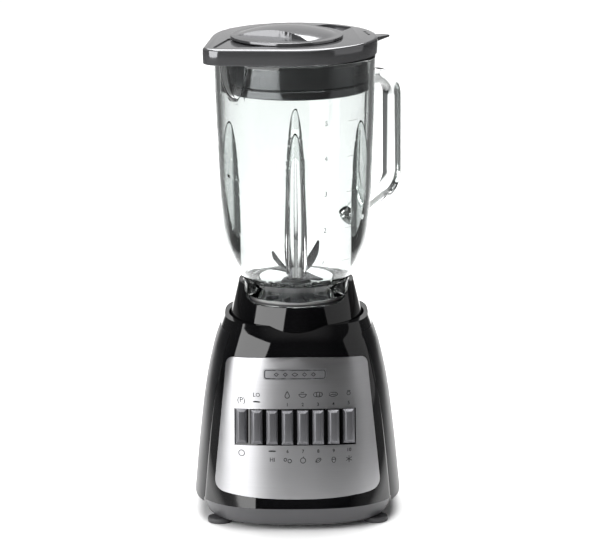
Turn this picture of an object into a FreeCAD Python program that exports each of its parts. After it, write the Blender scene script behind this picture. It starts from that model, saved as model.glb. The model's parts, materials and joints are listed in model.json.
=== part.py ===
import FreeCAD, Part
import math
import os
import re
import Sketcher
from FreeCAD import Placement, Rotation, Vector

# A countertop blender with a glass jar. Origin: the motor axis at counter level, +X to the right
# as seen from the front, +Y to the back, +Z up. Millimetres.

doc = FreeCAD.newDocument("CountertopBlender")
sheet = doc.addObject("Spreadsheet::Sheet", "Sizes")
nodes = []


# ---------------------------------------------------------------- helpers

def sizes(**values):
    """Write named driving dimensions into the next free rows of the spreadsheet."""
    for alias, value in values.items():
        row = len(sheet.getUsedCells()) // 2 + 1
        sheet.set(f"A{row}", alias)
        sheet.set(f"B{row}", str(value))
        sheet.setAlias(f"B{row}", alias)
    doc.recompute([sheet])


def size(alias):
    return float(sheet.getContents(sheet.getCellFromAlias(alias)))


def linked(expression):
    """Point every alias in an expression at the spreadsheet."""
    return re.sub(r"[a-z]\w+", lambda word: "Sizes." + word.group(0), str(expression))


def amount(expression):
    """The present value of an expression written in aliases."""
    result = sheet.evalExpression(str(expression))
    return float(getattr(result, "Value", result))


def node(piece, label=None):
    """Mark a document object as a finished piece: its label names its file."""
    if label:
        piece.Label = label
    nodes.append(piece)
    return piece


def solid_node(label, shape):
    """A piece whose shape is worked out here from the sheet."""
    piece = doc.addObject("Part::Feature", label)
    piece.Shape = shape
    return node(piece, label)


def attached_sketch(body, name, role, height=None):
    sketch = body.newObject("Sketcher::SketchObject", name)
    plane = [item for item in body.Origin.OriginFeatures if item.Role == role][0]
    sketch.AttachmentSupport = [(plane, "")]
    sketch.MapMode = "FlatFace"
    if height is not None:
        sketch.setExpression("AttachmentOffset.Base.z", linked(height))
    return sketch


def draw_outline(sketch, corners):
    """A closed outline of straight edges whose corners are pairs of expressions."""
    places = [Vector(amount(x), amount(y), 0) for x, y in corners]
    count = len(places)
    for index in range(count):
        edge = Part.LineSegment(places[index], places[(index + 1) % count])
        sketch.addGeometry(edge, False)
    for index in range(count):
        sketch.addConstraint(Sketcher.Constraint("Coincident", index, 2, (index + 1) % count, 1))
    for index, (x, y) in enumerate(corners):
        across = sketch.addConstraint(
            Sketcher.Constraint("DistanceX", -1, 1, index, 1, places[index].x))
        upward = sketch.addConstraint(
            Sketcher.Constraint("DistanceY", -1, 1, index, 1, places[index].y))
        sketch.setExpression(f"Constraints[{across}]", linked(x))
        sketch.setExpression(f"Constraints[{upward}]", linked(y))


def turned(name, *corners):
    """A turned piece: an outline of (radius, height) revolved about the motor axis."""
    body = doc.addObject("PartDesign::Body", name)
    sketch = attached_sketch(body, name + "_outline", "XZ_Plane")
    draw_outline(sketch, corners)
    revolution = body.newObject("PartDesign::Revolution", name + "_turning")
    revolution.Profile = sketch
    revolution.ReferenceAxis = (sketch, ["V_Axis"])
    revolution.Angle = 360
    return body


def ring(name, inner, outer, bottom, top):
    return turned(name, (inner, bottom), (outer, bottom), (outer, top), (inner, top))


def padded(body, name, corners, bottom, length, downward=False):
    """Pad a straight-edged outline from a height above the body's own XY plane."""
    sketch = attached_sketch(body, name + "_outline", "XY_Plane", bottom)
    draw_outline(sketch, corners)
    pad = body.newObject("PartDesign::Pad", name)
    pad.Profile = sketch
    pad.setExpression("Length", linked(length))
    pad.Reversed = downward
    return pad


def rectangle(half_x, half_y):
    return [(f"-({half_x})", f"-({half_y})"), (half_x, f"-({half_y})"), (half_x, half_y),
            (f"-({half_x})", half_y)]


def cylinder(name, radius, bottom, height, x="0", y="0"):
    rod = doc.addObject("Part::Cylinder", name)
    rod.setExpression("Radius", linked(radius))
    rod.setExpression("Height", linked(height))
    for axis, place in zip("xyz", (x, y, bottom)):
        rod.setExpression("Placement.Base." + axis, linked(place))
    return rod


def block(name, low, high):
    """A box between two corners given as expressions."""
    box = doc.addObject("Part::Box", name)
    for side, axis, start, end in zip(("Length", "Width", "Height"), "xyz", low, high):
        box.setExpression(side, linked(f"({end}) - ({start})"))
        box.setExpression("Placement.Base." + axis, linked(start))
    return box


def fused(name, *pieces):
    union = doc.addObject("Part::MultiFuse", name)
    union.Shapes = list(pieces)
    return union


def cut(name, base, *tools):
    result = doc.addObject("Part::Cut", name)
    result.Base = base
    result.Tool = tools[0] if len(tools) == 1 else fused(name + "_tools", *tools)
    return result


def group(name, pieces):
    """Like pieces that share one node as separate solids."""
    compound = doc.addObject("Part::Compound", name)
    compound.Links = list(pieces)
    return compound


def smooth_wire(points, closed):
    curve = Part.BSplineCurve()
    curve.interpolate(Points=points, PeriodicFlag=closed)
    return curve.toShape()


def box_shape(low, high):
    return Part.makeBox(high[0] - low[0], high[1] - low[1], high[2] - low[2], Vector(*low))


def ellipsoid(centre, radii):
    ball = Part.makeSphere(1.0)
    matrix = FreeCAD.Matrix()
    matrix.scale(*radii)
    ball = ball.transformGeometry(matrix)
    ball.translate(centre)
    return ball


# ---------------------------------------------------------------- casing envelope

# The casing is a tapered shell. Each level has a height, a half width, and its reach to the front
# and back; its plan is a rounded square, straight-sided where casing_squareness is high.
LEVELS = ("hem", "lower", "middle", "upper", "shoulder", "crown")
sizes(hem_height=16, hem_half_width=81.5, hem_front=80.5, hem_back=79,
      lower_height=60, lower_half_width=77.3, lower_front=73.7, lower_back=76.5,
      middle_height=102, middle_half_width=72, middle_front=67.3, middle_back=72.5,
      upper_height=133, upper_half_width=65.4, upper_front=62.4, upper_back=66,
      shoulder_height=148, shoulder_half_width=60.3, shoulder_front=56.6, shoulder_back=60.5,
      crown_height=158, crown_half_width=56.6, crown_front=50, crown_back=56,
      casing_squareness=2.8, section_points=28)


def plan_wire(height, half_width, front, back):
    """One level of the casing: a closed smooth curve round the rounded-square plan."""
    power = 2.0 / size("casing_squareness")
    count = int(size("section_points"))
    points = []
    for step in range(count):
        angle = 2 * math.pi * (step + 0.5) / count
        across = math.copysign(abs(math.cos(angle)) ** power, math.cos(angle))
        along = math.copysign(abs(math.sin(angle)) ** power, math.sin(angle))
        reach = back if along > 0 else front
        points.append(Vector(half_width * across, reach * along, height))
    return Part.Wire(smooth_wire(points, True))


def casing(inset):
    """The solid inside the casing's outer surface, drawn in by inset all round."""
    wires = []
    for level in LEVELS:
        wires.append(plan_wire(size(level + "_height"), size(level + "_half_width") - inset,
                               size(level + "_front") - inset, size(level + "_back") - inset))
    return Part.makeLoft(wires, True)


def level_value(kind, height):
    """A casing measure at a height, by straight interpolation between the levels."""
    for low, high in zip(LEVELS, LEVELS[1:]):
        start, end = size(low + "_height"), size(high + "_height")
        if height <= end:
            share = (height - start) / (end - start)
            first, last = size(f"{low}_{kind}"), size(f"{high}_{kind}")
            return first + share * (last - first)
    return size("crown_" + kind)


def front_depth(x, height):
    """How far the front surface reaches forward at a place across and a height."""
    squareness = size("casing_squareness")
    share = abs(x) / level_value("half_width", height)
    return level_value("front", height) * (1 - share ** squareness) ** (1 / squareness)


def front_prism(inset, low, high):
    """All that lies inside the casing's front-view outline drawn in by inset."""
    inner = [Vector(size(level + "_half_width") - inset, 0, size(level + "_height"))
             for level in LEVELS]
    right = smooth_wire(inner, False)
    left = smooth_wire([Vector(-point.x, 0, point.z) for point in inner], False)
    hem = Part.makeLine(Vector(-inner[0].x, 0, inner[0].z), inner[0])
    crown = Part.makeLine(inner[-1], Vector(-inner[-1].x, 0, inner[-1].z))
    face = Part.Face(Part.Wire([hem, right, crown, left]))
    face.translate(Vector(0, -150, 0))
    prism = face.extrude(Vector(0, 300, 0))
    return prism.common(box_shape((-150, -150, low), (150, 150, high)))


sizes(casing_wall=3.2, side_panel_thickness=2.0, side_panel_strip=8.0, side_panel_top=150,
      seam_gap=0.3, cover_top=18, recess_clearance=0.5, collar_radius_bottom=53,
      recess_floor=153, deck_thickness=3,
      drive_hole_radius=10.5, drip_rim_width=2.5, drip_rim_height=3.5, drip_rim_radius=13)

outer = casing(0)
under_panels = casing(size("side_panel_thickness"))
under_panels_bottom = size("cover_top")
cavity_inset = size("side_panel_thickness") + size("casing_wall")


# ---------------------------------------------------------------- control panel, badge, keys

sizes(panel_bottom=25.7, panel_top=135.8, panel_half_bottom=65.5, panel_half_top=55,
      panel_bottom_bow=4, panel_top_bow=2.6, panel_bottom_radius=9, panel_top_radius=6.5,
      panel_thickness=0.8, panel_proud=0.35, panel_clearance=0.15,
      badge_half_length=25, badge_bottom=118.5, badge_top=127.1, badge_radius=2.6, badge_proud=0.9,
      badge_x=-1.5,
      key_count=8, key_pitch=12, key_width=9, key_bottom=68.4, key_top=95.1, key_proud=5,
      key_depth=9, key_chamfer=0.9, key_row_x=-1.6, key_travel=4, key_clearance=0.45,
      stem_width=4, stem_height=7, stem_entry=3)


def bowed_outline(half_bottom, half_top, bottom, top, bottom_bow, top_bow,
                  bottom_radius, top_radius, x=0.0):
    """A front-view plate outline with bowed ends and rounded corners, as a prism along Y."""
    corners = [Vector(x - half_bottom, -150, bottom + bottom_bow),
               Vector(x + half_bottom, -150, bottom + bottom_bow),
               Vector(x + half_top, -150, top - top_bow),
               Vector(x - half_top, -150, top - top_bow)]
    hem = Part.Arc(corners[0], Vector(x, -150, bottom), corners[1]).toShape() \
        if bottom_bow else Part.makeLine(corners[0], corners[1])
    head = Part.Arc(corners[2], Vector(x, -150, top), corners[3]).toShape() \
        if top_bow else Part.makeLine(corners[2], corners[3])
    right = Part.makeLine(corners[1], corners[2])
    left = Part.makeLine(corners[3], corners[0])
    prism = Part.Face(Part.Wire([hem, right, head, left])).extrude(Vector(0, 150, 0))
    for radius, low in ((bottom_radius, True), (top_radius, False)):
        middle = (bottom + top) / 2
        edges = [edge for edge in prism.Edges
                 if abs(edge.tangentAt(edge.FirstParameter).y) > 0.99
                 and (edge.CenterOfMass.z < middle) == low and edge.Length > 100
                 and edge.BoundBox.XLength < 0.01]
        prism = prism.makeFillet(radius, edges)
    return prism


def panel_prism(grow):
    return bowed_outline(size("panel_half_bottom") + grow, size("panel_half_top") + grow,
                         size("panel_bottom") - grow, size("panel_top") + grow,
                         size("panel_bottom_bow"), size("panel_top_bow"),
                         size("panel_bottom_radius"), size("panel_top_radius"))


def badge_prism():
    half = size("badge_half_length")
    return bowed_outline(half, half, size("badge_bottom"), size("badge_top"), 0, 0,
                         size("badge_radius"), size("badge_radius"), size("badge_x"))


lean = math.degrees(math.atan2(size("lower_front") - size("middle_front"),
                               size("middle_height") - size("lower_height")))
key_middle = (size("key_bottom") + size("key_top")) / 2
key_half = (size("key_top") - size("key_bottom")) / 2
face_turn = Rotation(Vector(1, 0, 0), 90 - lean)
outward = face_turn.multVec(Vector(0, 0, 1))


def key_x(index):
    return size("key_row_x") + (index - (size("key_count") - 1) / 2) * size("key_pitch")


def face_place(x):
    """A frame on the front surface at key height: its Z points out, square to the lean."""
    return Placement(Vector(x, -front_depth(x, key_middle), key_middle), face_turn)


def key_hole(index, grow, depth):
    """The opening that a key slides in, from in front of the face to a depth behind it."""
    half_x = size("key_width") / 2 + grow
    half_y = key_half + grow
    hole = box_shape((-half_x, -half_y, -depth), (half_x, half_y, 12))
    hole.Placement = face_place(key_x(index))
    return hole


key_indices = range(int(size("key_count")))
window_grow = size("key_clearance") + 0.5
row_half = (size("key_count") - 1) / 2 * size("key_pitch") + size("key_width") / 2 + window_grow
panel_window = box_shape((-row_half, -key_half - window_grow, -12),
                         (row_half, key_half + window_grow, 12))
panel_window.Placement = Placement(Vector(size("key_row_x"), -front_depth(0, key_middle), key_middle),
                                   face_turn)

panel_front = casing(-size("panel_proud"))
panel_back = casing(size("panel_thickness") - size("panel_proud"))
panel_shape = panel_front.cut(panel_back).common(panel_prism(0)).cut(panel_window)
solid_node("control_panel", panel_shape.Solids[0])

badge_shape = casing(-size("badge_proud")).cut(panel_front).common(badge_prism())
solid_node("badge_plate", badge_shape.Solids[0])

# The switch bank stands behind the outermost keys' full travel.
sizes(switch_front=20)



def set_back(index):
    """How much further back the face lies at a key than at the middle of the row."""
    return front_depth(0, key_middle) - front_depth(key_x(index), key_middle)


KEY_NAMES = ("button_pulse_off", "button_low", "button_high", "button_speed_1_6",
             "button_speed_2_7", "button_speed_3_8", "button_speed_4_9", "button_speed_5_10")
for index, name in enumerate(KEY_NAMES):
    key = doc.addObject("PartDesign::Body", name)
    cap = padded(key, name + "_cap", rectangle("key_width/2", "(key_top - key_bottom)/2"),
                 "key_proud", "key_proud + key_depth", downward=True)
    doc.recompute()
    front_faces = [f"Face{number + 1}" for number, face in enumerate(cap.Shape.Faces)
                   if abs(face.CenterOfMass.z - size("key_proud")) < 0.01]
    edge_break = key.newObject("PartDesign::Chamfer", name + "_edge")
    edge_break.Base = (cap, front_faces)
    edge_break.setExpression("Size", linked("key_chamfer"))
    stem_length = f"switch_front + stem_entry - key_depth + 1 - {set_back(index)}"
    padded(key, name + "_stem", rectangle("stem_width/2", "stem_height/2"),
           "-key_depth + 1", stem_length, downward=True)
    key.Placement = face_place(key_x(index))
    node(key)


# ---------------------------------------------------------------- speed switch bank

sizes(switch_depth=12, switch_half_length=49, switch_half_height=16, stem_clearance=0.6,
      stem_end_room=1, terminal_width=4, terminal_height=6, terminal_length=5)

switch_place = Placement(Vector(size("key_row_x"), -front_depth(0, key_middle), key_middle),
                         face_turn)
bank_half_x = size("switch_half_length")
bank_half_y = size("switch_half_height")
bank_back = -size("switch_front") - size("switch_depth")
switch_shape = box_shape((-bank_half_x, -bank_half_y, bank_back),
                         (bank_half_x, bank_half_y, -size("switch_front")))
switch_shape.Placement = switch_place
for index in key_indices:
    half_x = size("stem_width") / 2 + size("stem_clearance")
    half_y = size("stem_height") / 2 + size("stem_clearance")
    bottom = -(size("switch_front") + size("stem_entry") + size("key_travel")
               + size("stem_end_room") - set_back(index))
    pocket = box_shape((-half_x, -half_y, bottom), (half_x, half_y, 0))
    pocket.Placement = face_place(key_x(index))
    switch_shape = switch_shape.cut(pocket)
solid_node("switch_bank", switch_shape)

terminals = []
for index in key_indices:
    half_x = size("terminal_width") / 2
    half_y = size("terminal_height") / 2
    tag = box_shape((-half_x, -half_y, bank_back - size("terminal_length")),
                    (half_x, half_y, bank_back))
    tag.Placement = Placement(Vector(key_x(index), -front_depth(0, key_middle), key_middle),
                              face_turn)
    terminals.append(tag)
solid_node("switch_terminals", Part.makeCompound(terminals))


# ---------------------------------------------------------------- side panels

seam_cut = front_prism(size("side_panel_strip") - size("seam_gap"), size("hem_height"),
                       size("crown_height"))
below_deck = box_shape((-150, -150, size("hem_height")), (150, 150, size("side_panel_top")))
side_shell = outer.cut(under_panels).cut(seam_cut).common(below_deck)
for label, side in (("left_side_panel", -1), ("right_side_panel", 1)):
    half = box_shape((0, -150, 0), (150 * side, 150, 200)) if side > 0 else \
        box_shape((-150, -150, 0), (0, 150, 200))
    solid_node(label, max(side_shell.common(half).Solids, key=lambda solid: solid.Volume))


# ---------------------------------------------------------------- base housing

sizes(boss_radius=6, boss_x=44, boss_y=20, boss_bottom=126, boss_hole_radius=2.05,
      boss_hole_depth=18,
      post_x=46, post_y=56, post_half=6, post_top=45, post_hole_radius=1.6, post_hole_depth=16,
      inlet_height=32, inlet_hole_radius=6.2)

fascia = front_prism(size("side_panel_strip"), size("cover_top"), size("crown_height"))
rim_band = box_shape((-150, -150, size("side_panel_top") + size("seam_gap")),
                     (150, 150, size("crown_height")))
above_cover = box_shape((-150, -150, size("cover_top")), (150, 150, size("crown_height")))
housing = under_panels.common(above_cover).fuse([outer.common(fascia), outer.common(rim_band)])
deck_underside = size("recess_floor") - size("deck_thickness")
cavity = casing(cavity_inset).common(box_shape((-150, -150, 0), (150, 150, deck_underside)))
recess = Part.makeCylinder(size("collar_radius_bottom") + size("recess_clearance"), 60,
                           Vector(0, 0, size("recess_floor")))
drive_hole = Part.makeCylinder(size("drive_hole_radius"), 60, Vector(0, 0, deck_underside - 10))
housing = housing.cut([cavity, recess])

rim_radius = size("drip_rim_radius")
drip_rim = Part.makeCylinder(rim_radius + size("drip_rim_width"), size("drip_rim_height"),
                             Vector(0, 0, size("recess_floor")))
drip_rim = drip_rim.cut(Part.makeCylinder(rim_radius, 60, Vector(0, 0, size("recess_floor"))))
additions = [drip_rim]
holes = [drive_hole]
for x_side in (-1, 1):
    for y_side in (-1, 1):
        place = Vector(x_side * size("boss_x"), y_side * size("boss_y"), size("boss_bottom"))
        additions.append(Part.makeCylinder(size("boss_radius"),
                                           deck_underside - size("boss_bottom") + 1, place))
        holes.append(Part.makeCylinder(size("boss_hole_radius"), size("boss_hole_depth"), place))
        post = box_shape((size("post_x") - size("post_half"), size("post_y") - size("post_half"),
                          size("cover_top")),
                         (size("post_x") + size("post_half"), size("post_y") + 40, size("post_top")))
        post = post.mirror(Vector(0, 0, 0), Vector(1, 0, 0)) if x_side < 0 else post
        post = post.mirror(Vector(0, 0, 0), Vector(0, 1, 0)) if y_side < 0 else post
        additions.append(post.common(casing(cavity_inset - 1)))
        holes.append(Part.makeCylinder(size("post_hole_radius"), size("post_hole_depth"),
                                       Vector(x_side * size("post_x"), y_side * size("post_y"),
                                              size("cover_top"))))
housing = housing.fuse(additions)
panel_seat = casing(-2).cut(casing(size("panel_thickness") - size("panel_proud")))
holes.append(panel_seat.common(panel_prism(size("panel_clearance"))))
holes.append(Part.makeCylinder(size("inlet_hole_radius"), 60,
                               Vector(0, 40, size("inlet_height")), Vector(0, 1, 0)))
for index in key_indices:
    holes.append(key_hole(index, size("key_clearance"), size("switch_front") - 2))
solid_node("base_housing", max(housing.cut(holes).Solids, key=lambda solid: solid.Volume))


# ---------------------------------------------------------------- bottom cover, feet, screws

sizes(cover_bottom=4, cover_half_width_top=76.5, cover_front_top=80, cover_back_top=76,
      cover_half_width_bottom=72.5, cover_front_bottom=77, cover_back_bottom=73.5,
      cover_wall=2.6, cover_floor=3, foot_radius=9.5, foot_x=61.5, foot_y=50.5,
      cover_screw_radius=1.9, cover_screw_head=3.6, cover_screw_length=12,
      cover_screw_sink=2.4, screw_clearance=0.3, vent_count=12, vent_inner=12, vent_outer=30,
      vent_width=3.4)


def cover_wire(height, inset):
    share = (height - size("cover_bottom")) / (size("cover_top") - size("cover_bottom"))
    reach = []
    for kind in ("half_width", "front", "back"):
        low, high = size(f"cover_{kind}_bottom"), size(f"cover_{kind}_top")
        reach.append(low + share * (high - low) - inset)
    return plan_wire(height, *reach)


cover = Part.makeLoft([cover_wire(size("cover_bottom"), 0), cover_wire(size("cover_top"), 0)], True)
floor_top = size("cover_bottom") + size("cover_floor")
tray = Part.makeLoft([cover_wire(floor_top, size("cover_wall")),
                      cover_wire(size("cover_top") + 1, size("cover_wall"))], True)
cover = cover.cut(tray)
tower_height = size("cover_top") - size("cover_bottom")
cover_tools = []
screws = []
for x_side in (-1, 1):
    for y_side in (-1, 1):
        foot = Vector(x_side * size("post_x"), y_side * size("post_y"), size("cover_bottom"))
        cover = cover.fuse(Part.makeCylinder(size("cover_screw_head") + 2, tower_height, foot))
        head_room = size("cover_screw_head") + size("screw_clearance")
        cover_tools.append(Part.makeCylinder(head_room, size("cover_screw_sink") + 3, foot))
        cover_tools.append(Part.makeCylinder(size("cover_screw_radius") + size("screw_clearance"),
                                             60, foot))
        seat = foot + Vector(0, 0, size("cover_screw_sink"))
        shank_base = seat + Vector(0, 0, 3)
        head = Part.makeCylinder(size("cover_screw_head"), 3, seat)
        slot_half = 0.5
        slot = box_shape((seat.x - 5, seat.y - slot_half, seat.z),
                         (seat.x + 5, seat.y + slot_half, seat.z + 1.2))
        shank_length = tower_height - size("cover_screw_sink") - 3 + size("cover_screw_length")
        shank = Part.makeCylinder(size("post_hole_radius") - 0.05, shank_length, shank_base)
        screws.append(head.cut(slot).fuse(shank))
for index in range(int(size("vent_count"))):
    vent = box_shape((size("vent_inner"), -size("vent_width") / 2, 0),
                     (size("vent_outer"), size("vent_width") / 2, size("cover_top")))
    vent.rotate(Vector(0, 0, 0), Vector(0, 0, 1), 360 * (index + 0.5) / size("vent_count"))
    cover_tools.append(vent)
solid_node("bottom_cover", cover.cut(cover_tools))
solid_node("cover_screws", Part.makeCompound(screws))

feet = []
for x_side, x_name in ((-1, "left"), (1, "right")):
    for y_side, y_name in ((-1, "front"), (1, "back")):
        foot = cylinder(f"foot_{y_name}_{x_name}", "foot_radius", "0", "cover_bottom",
                        f"{x_side}*foot_x", f"{y_side}*foot_y")
        feet.append(foot)
node(group("rubber_feet", feet))

sizes(inlet_bore=3.6, inlet_collar_radius=9, inlet_collar_thickness=2, inlet_inner=70,
      inlet_outer=82)
inlet_core = Part.makeCylinder(size("inlet_hole_radius") - 0.1,
                               size("inlet_outer") - size("inlet_inner"),
                               Vector(0, size("inlet_inner"), size("inlet_height")),
                               Vector(0, 1, 0))
inlet_collar = Part.makeCylinder(size("inlet_collar_radius"), size("inlet_collar_thickness"),
                                 Vector(0, size("inlet_inner"), size("inlet_height")), Vector(0, 1, 0))
inlet_hole = Part.makeCylinder(size("inlet_bore"), 60, Vector(0, 50, size("inlet_height")),
                               Vector(0, 1, 0))
solid_node("cord_inlet_bush", inlet_core.fuse(inlet_collar).cut(inlet_hole))


# ---------------------------------------------------------------- motor: turning parts

sizes(shaft_radius=4, shaft_bottom=11, shaft_top=151, fan_radius=33, fan_bottom=13, fan_height=9,
      fan_hub_radius=8, fan_plate=1.6, fan_blades=9, fan_blade_thickness=1.4,
      commutator_radius=13, commutator_bottom=37, commutator_top=50,
      armature_radius=21, core_bottom=62, core_top=98, winding_bottom=53, winding_top=107,
      winding_radius=18.5, slinger_radius=15, slinger_bottom=125, slinger_height=3,
      stud_hub_radius=8, stud_hub_bottom=143, stud_half=5, stud_rise=10.5)

stud_bottom = "recess_floor - 0.5"
stud_top = "recess_floor + stud_rise"

node(turned("motor_shaft", ("0", "shaft_bottom"), ("shaft_radius", "shaft_bottom"),
            ("shaft_radius", "shaft_top"), ("0", "shaft_top")))

fan_plate_ring = ring("cooling_fan_plate", "shaft_radius", "fan_radius",
                      "fan_bottom + fan_height - fan_plate", "fan_bottom + fan_height")
fan_hub = ring("cooling_fan_hub", "shaft_radius", "fan_hub_radius", "fan_bottom",
               "fan_bottom + fan_height")
fan_parts = [fan_plate_ring, fan_hub]
for index in range(int(size("fan_blades"))):
    blade = block(f"cooling_fan_blade_{index}",
                  ("fan_hub_radius - 1", "-fan_blade_thickness/2", "fan_bottom"),
                  ("fan_radius", "fan_blade_thickness/2", "fan_bottom + fan_height - fan_plate"))
    turn = Rotation(Vector(0, 0, 1), 360 * index / size("fan_blades"))
    doc.recompute([blade])
    blade.setExpression("Placement.Base.x", None)
    blade.setExpression("Placement.Base.y", None)
    blade.setExpression("Placement.Base.z", None)
    blade.Placement = Placement(Vector(0, 0, 0), turn).multiply(blade.Placement)
    fan_parts.append(blade)
node(fused("cooling_fan", *fan_parts))

commutator = ring("commutator_ring", "shaft_radius", "commutator_radius", "commutator_bottom",
                  "commutator_top")
node(commutator, "commutator")
node(ring("armature_core", "shaft_radius", "armature_radius", "core_bottom", "core_top"))
windings = [turned("armature_winding_lower", ("shaft_radius + 2", "winding_bottom"),
                   ("winding_radius - 4", "winding_bottom"), ("winding_radius", "winding_bottom + 4"),
                   ("winding_radius", "core_bottom"), ("shaft_radius + 2", "core_bottom")),
            turned("armature_winding_upper", ("shaft_radius + 2", "core_top"),
                   ("winding_radius", "core_top"), ("winding_radius", "winding_top - 4"),
                   ("winding_radius - 4", "winding_top"), ("shaft_radius + 2", "winding_top"))]
node(group("armature_windings", windings))
node(turned("slinger", ("shaft_radius", "slinger_bottom"), ("slinger_radius - 4", "slinger_bottom"),
            ("slinger_radius", "slinger_bottom - 2"), ("slinger_radius", "slinger_bottom"),
            ("slinger_radius - 3", "slinger_bottom + slinger_height"),
            ("shaft_radius", "slinger_bottom + slinger_height")))

stud = doc.addObject("PartDesign::Body", "drive_stud")
padded(stud, "drive_stud_head", rectangle("stud_half", "stud_half"), stud_bottom,
       f"{stud_top} - ({stud_bottom})")
hub = cylinder("drive_stud_hub", "stud_hub_radius", "stud_hub_bottom",
               f"{stud_bottom} - stud_hub_bottom")
shaft_socket = cylinder("drive_stud_bore", "shaft_radius", "stud_hub_bottom",
                        "shaft_top - stud_hub_bottom")
stud.Label = "drive_stud_square"
node(cut("drive_coupling", fused("drive_coupling_blank", stud, hub), shaft_socket))


# ---------------------------------------------------------------- motor: fixed parts

sizes(stator_half_x=39, stator_half_y=31, stator_bore=21.8, coil_thickness=8, coil_half_y=15,
      bushing_radius=7, bushing_running_gap=0.04, upper_bushing_bottom=112, upper_bushing_top=121,
      lower_bushing_bottom=25, lower_bushing_top=34, bracket_hub_radius=10, bracket_plate=3,
      upper_bracket_z=114, lower_bracket_z=27, bracket_half_x=50, upper_bracket_half_y=26,
      lower_bracket_half_y=12, leg_inner=36, mount_radius=6, mount_top=126,
      mount_hole_radius=2.4, motor_screw_radius=2, motor_screw_head=4, motor_screw_head_height=3,
      motor_screw_reach=136, brush_half_y=3, brush_bottom=41, brush_top=47, brush_inner=13.25,
      brush_outer=25, holder_wall=1, holder_inner=15, holder_outer=34, spring_radius=2.2,
      brush_gap=0.1, holder_base_bottom=30)

stator_blank = block("stator_blank", ("-stator_half_x", "-stator_half_y", "core_bottom"),
                     ("stator_half_x", "stator_half_y", "core_top"))
stator_bore = cylinder("stator_bore_tool", "stator_bore", "core_bottom - 1",
                       "core_top - core_bottom + 2")
coil_slots = []
for side_name, side in (("left", "-1"), ("right", "1")):
    for end_name, end in (("front", "-1"), ("back", "1")):
        coil_slots.append(cylinder(f"coil_slot_{side_name}_{end_name}", "coil_thickness/2",
                                   "core_bottom - 1", "core_top - core_bottom + 2",
                                   f"{side}*(stator_bore + 3)", f"{end}*(coil_half_y + 4)"))
node(cut("stator_core", stator_blank, stator_bore, *coil_slots))

coils = []
for side_name, side in (("left", -1), ("right", 1)):
    for level_name, low, high in (("lower", "core_bottom - coil_thickness", "core_bottom"),
                                  ("upper", "core_top", "core_top + coil_thickness")):
        edges = sorted((f"{side}*(stator_bore + 0.6)", f"{side}*(stator_bore + 10.6)"), key=amount)
        coils.append(block(f"field_coil_{side_name}_{level_name}",
                           (edges[0], "-coil_half_y", low), (edges[1], "coil_half_y", high)))
node(group("field_coils", coils))

for label, level in (("upper_bushing", "upper_bushing"), ("lower_bushing", "lower_bushing")):
    node(ring(label, "shaft_radius + bushing_running_gap", "bushing_radius", level + "_bottom",
              level + "_top"))

upper_plate = block("upper_bracket_plate",
                    ("-bracket_half_x", "-upper_bracket_half_y", "upper_bracket_z"),
                    ("bracket_half_x", "upper_bracket_half_y", "upper_bracket_z + bracket_plate"))
upper_hub = cylinder("upper_bracket_hub", "bracket_hub_radius", "upper_bushing_bottom",
                     "upper_bushing_top - upper_bushing_bottom")
upper_legs = [block(f"upper_bracket_leg_{name}", (low, "-lower_bracket_half_y", "core_top"),
                    (high, "lower_bracket_half_y", "upper_bracket_z"))
              for name, low, high in (("left", "-stator_half_x", "-leg_inner"),
                                      ("right", "leg_inner", "stator_half_x"))]
upper_tools = [cylinder("upper_bushing_seat", "bushing_radius", "upper_bushing_bottom - 1",
                        "upper_bushing_top - upper_bushing_bottom + 2")]
mounts = []
motor_screws = []
for x_name, x_side in (("left", "-1"), ("right", "1")):
    for y_name, y_side in (("front", "-1"), ("back", "1")):
        tag = f"{x_name}_{y_name}"
        x, y = f"{x_side}*boss_x", f"{y_side}*boss_y"
        upper_tools.append(cylinder(f"mount_bolt_hole_{tag}", "mount_hole_radius",
                                    "upper_bracket_z - 1", "bracket_plate + 2", x, y))
        pad_blank = cylinder(f"mount_pad_{tag}", "mount_radius", "upper_bracket_z + bracket_plate",
                             "mount_top - upper_bracket_z - bracket_plate", x, y)
        pad_hole = cylinder(f"mount_pad_hole_{tag}", "mount_hole_radius", "upper_bracket_z",
                            "mount_top - upper_bracket_z + 1", x, y)
        mounts.append(cut(f"motor_mount_{tag}", pad_blank, pad_hole))
        head = cylinder(f"motor_screw_head_{tag}", "motor_screw_head",
                        "upper_bracket_z - motor_screw_head_height", "motor_screw_head_height", x, y)
        shank = cylinder(f"motor_screw_shank_{tag}", "motor_screw_radius", "upper_bracket_z",
                         "motor_screw_reach - upper_bracket_z", x, y)
        motor_screws.append(fused(f"motor_screw_{tag}", head, shank))
node(cut("upper_bracket", fused("upper_bracket_blank", upper_plate, upper_hub, *upper_legs),
         *upper_tools))
node(group("motor_mounts", mounts))
node(group("motor_screws", motor_screws))

lower_plate = block("lower_bracket_plate",
                    ("-stator_half_x", "-lower_bracket_half_y", "lower_bracket_z"),
                    ("stator_half_x", "lower_bracket_half_y", "lower_bracket_z + bracket_plate"))
lower_hub = cylinder("lower_bracket_hub", "bracket_hub_radius", "lower_bushing_bottom",
                     "lower_bushing_top - lower_bushing_bottom")
lower_legs = [block(f"lower_bracket_leg_{name}",
                    (low, "-lower_bracket_half_y", "lower_bracket_z"),
                    (high, "lower_bracket_half_y", "core_bottom"))
              for name, low, high in (("left", "-stator_half_x", "-leg_inner"),
                                      ("right", "leg_inner", "stator_half_x"))]
lower_seat = cylinder("lower_bushing_seat", "bushing_radius", "lower_bushing_bottom - 1",
                      "lower_bushing_top - lower_bushing_bottom + 2")
node(cut("lower_bracket", fused("lower_bracket_blank", lower_plate, lower_hub, *lower_legs),
         lower_seat))

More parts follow.
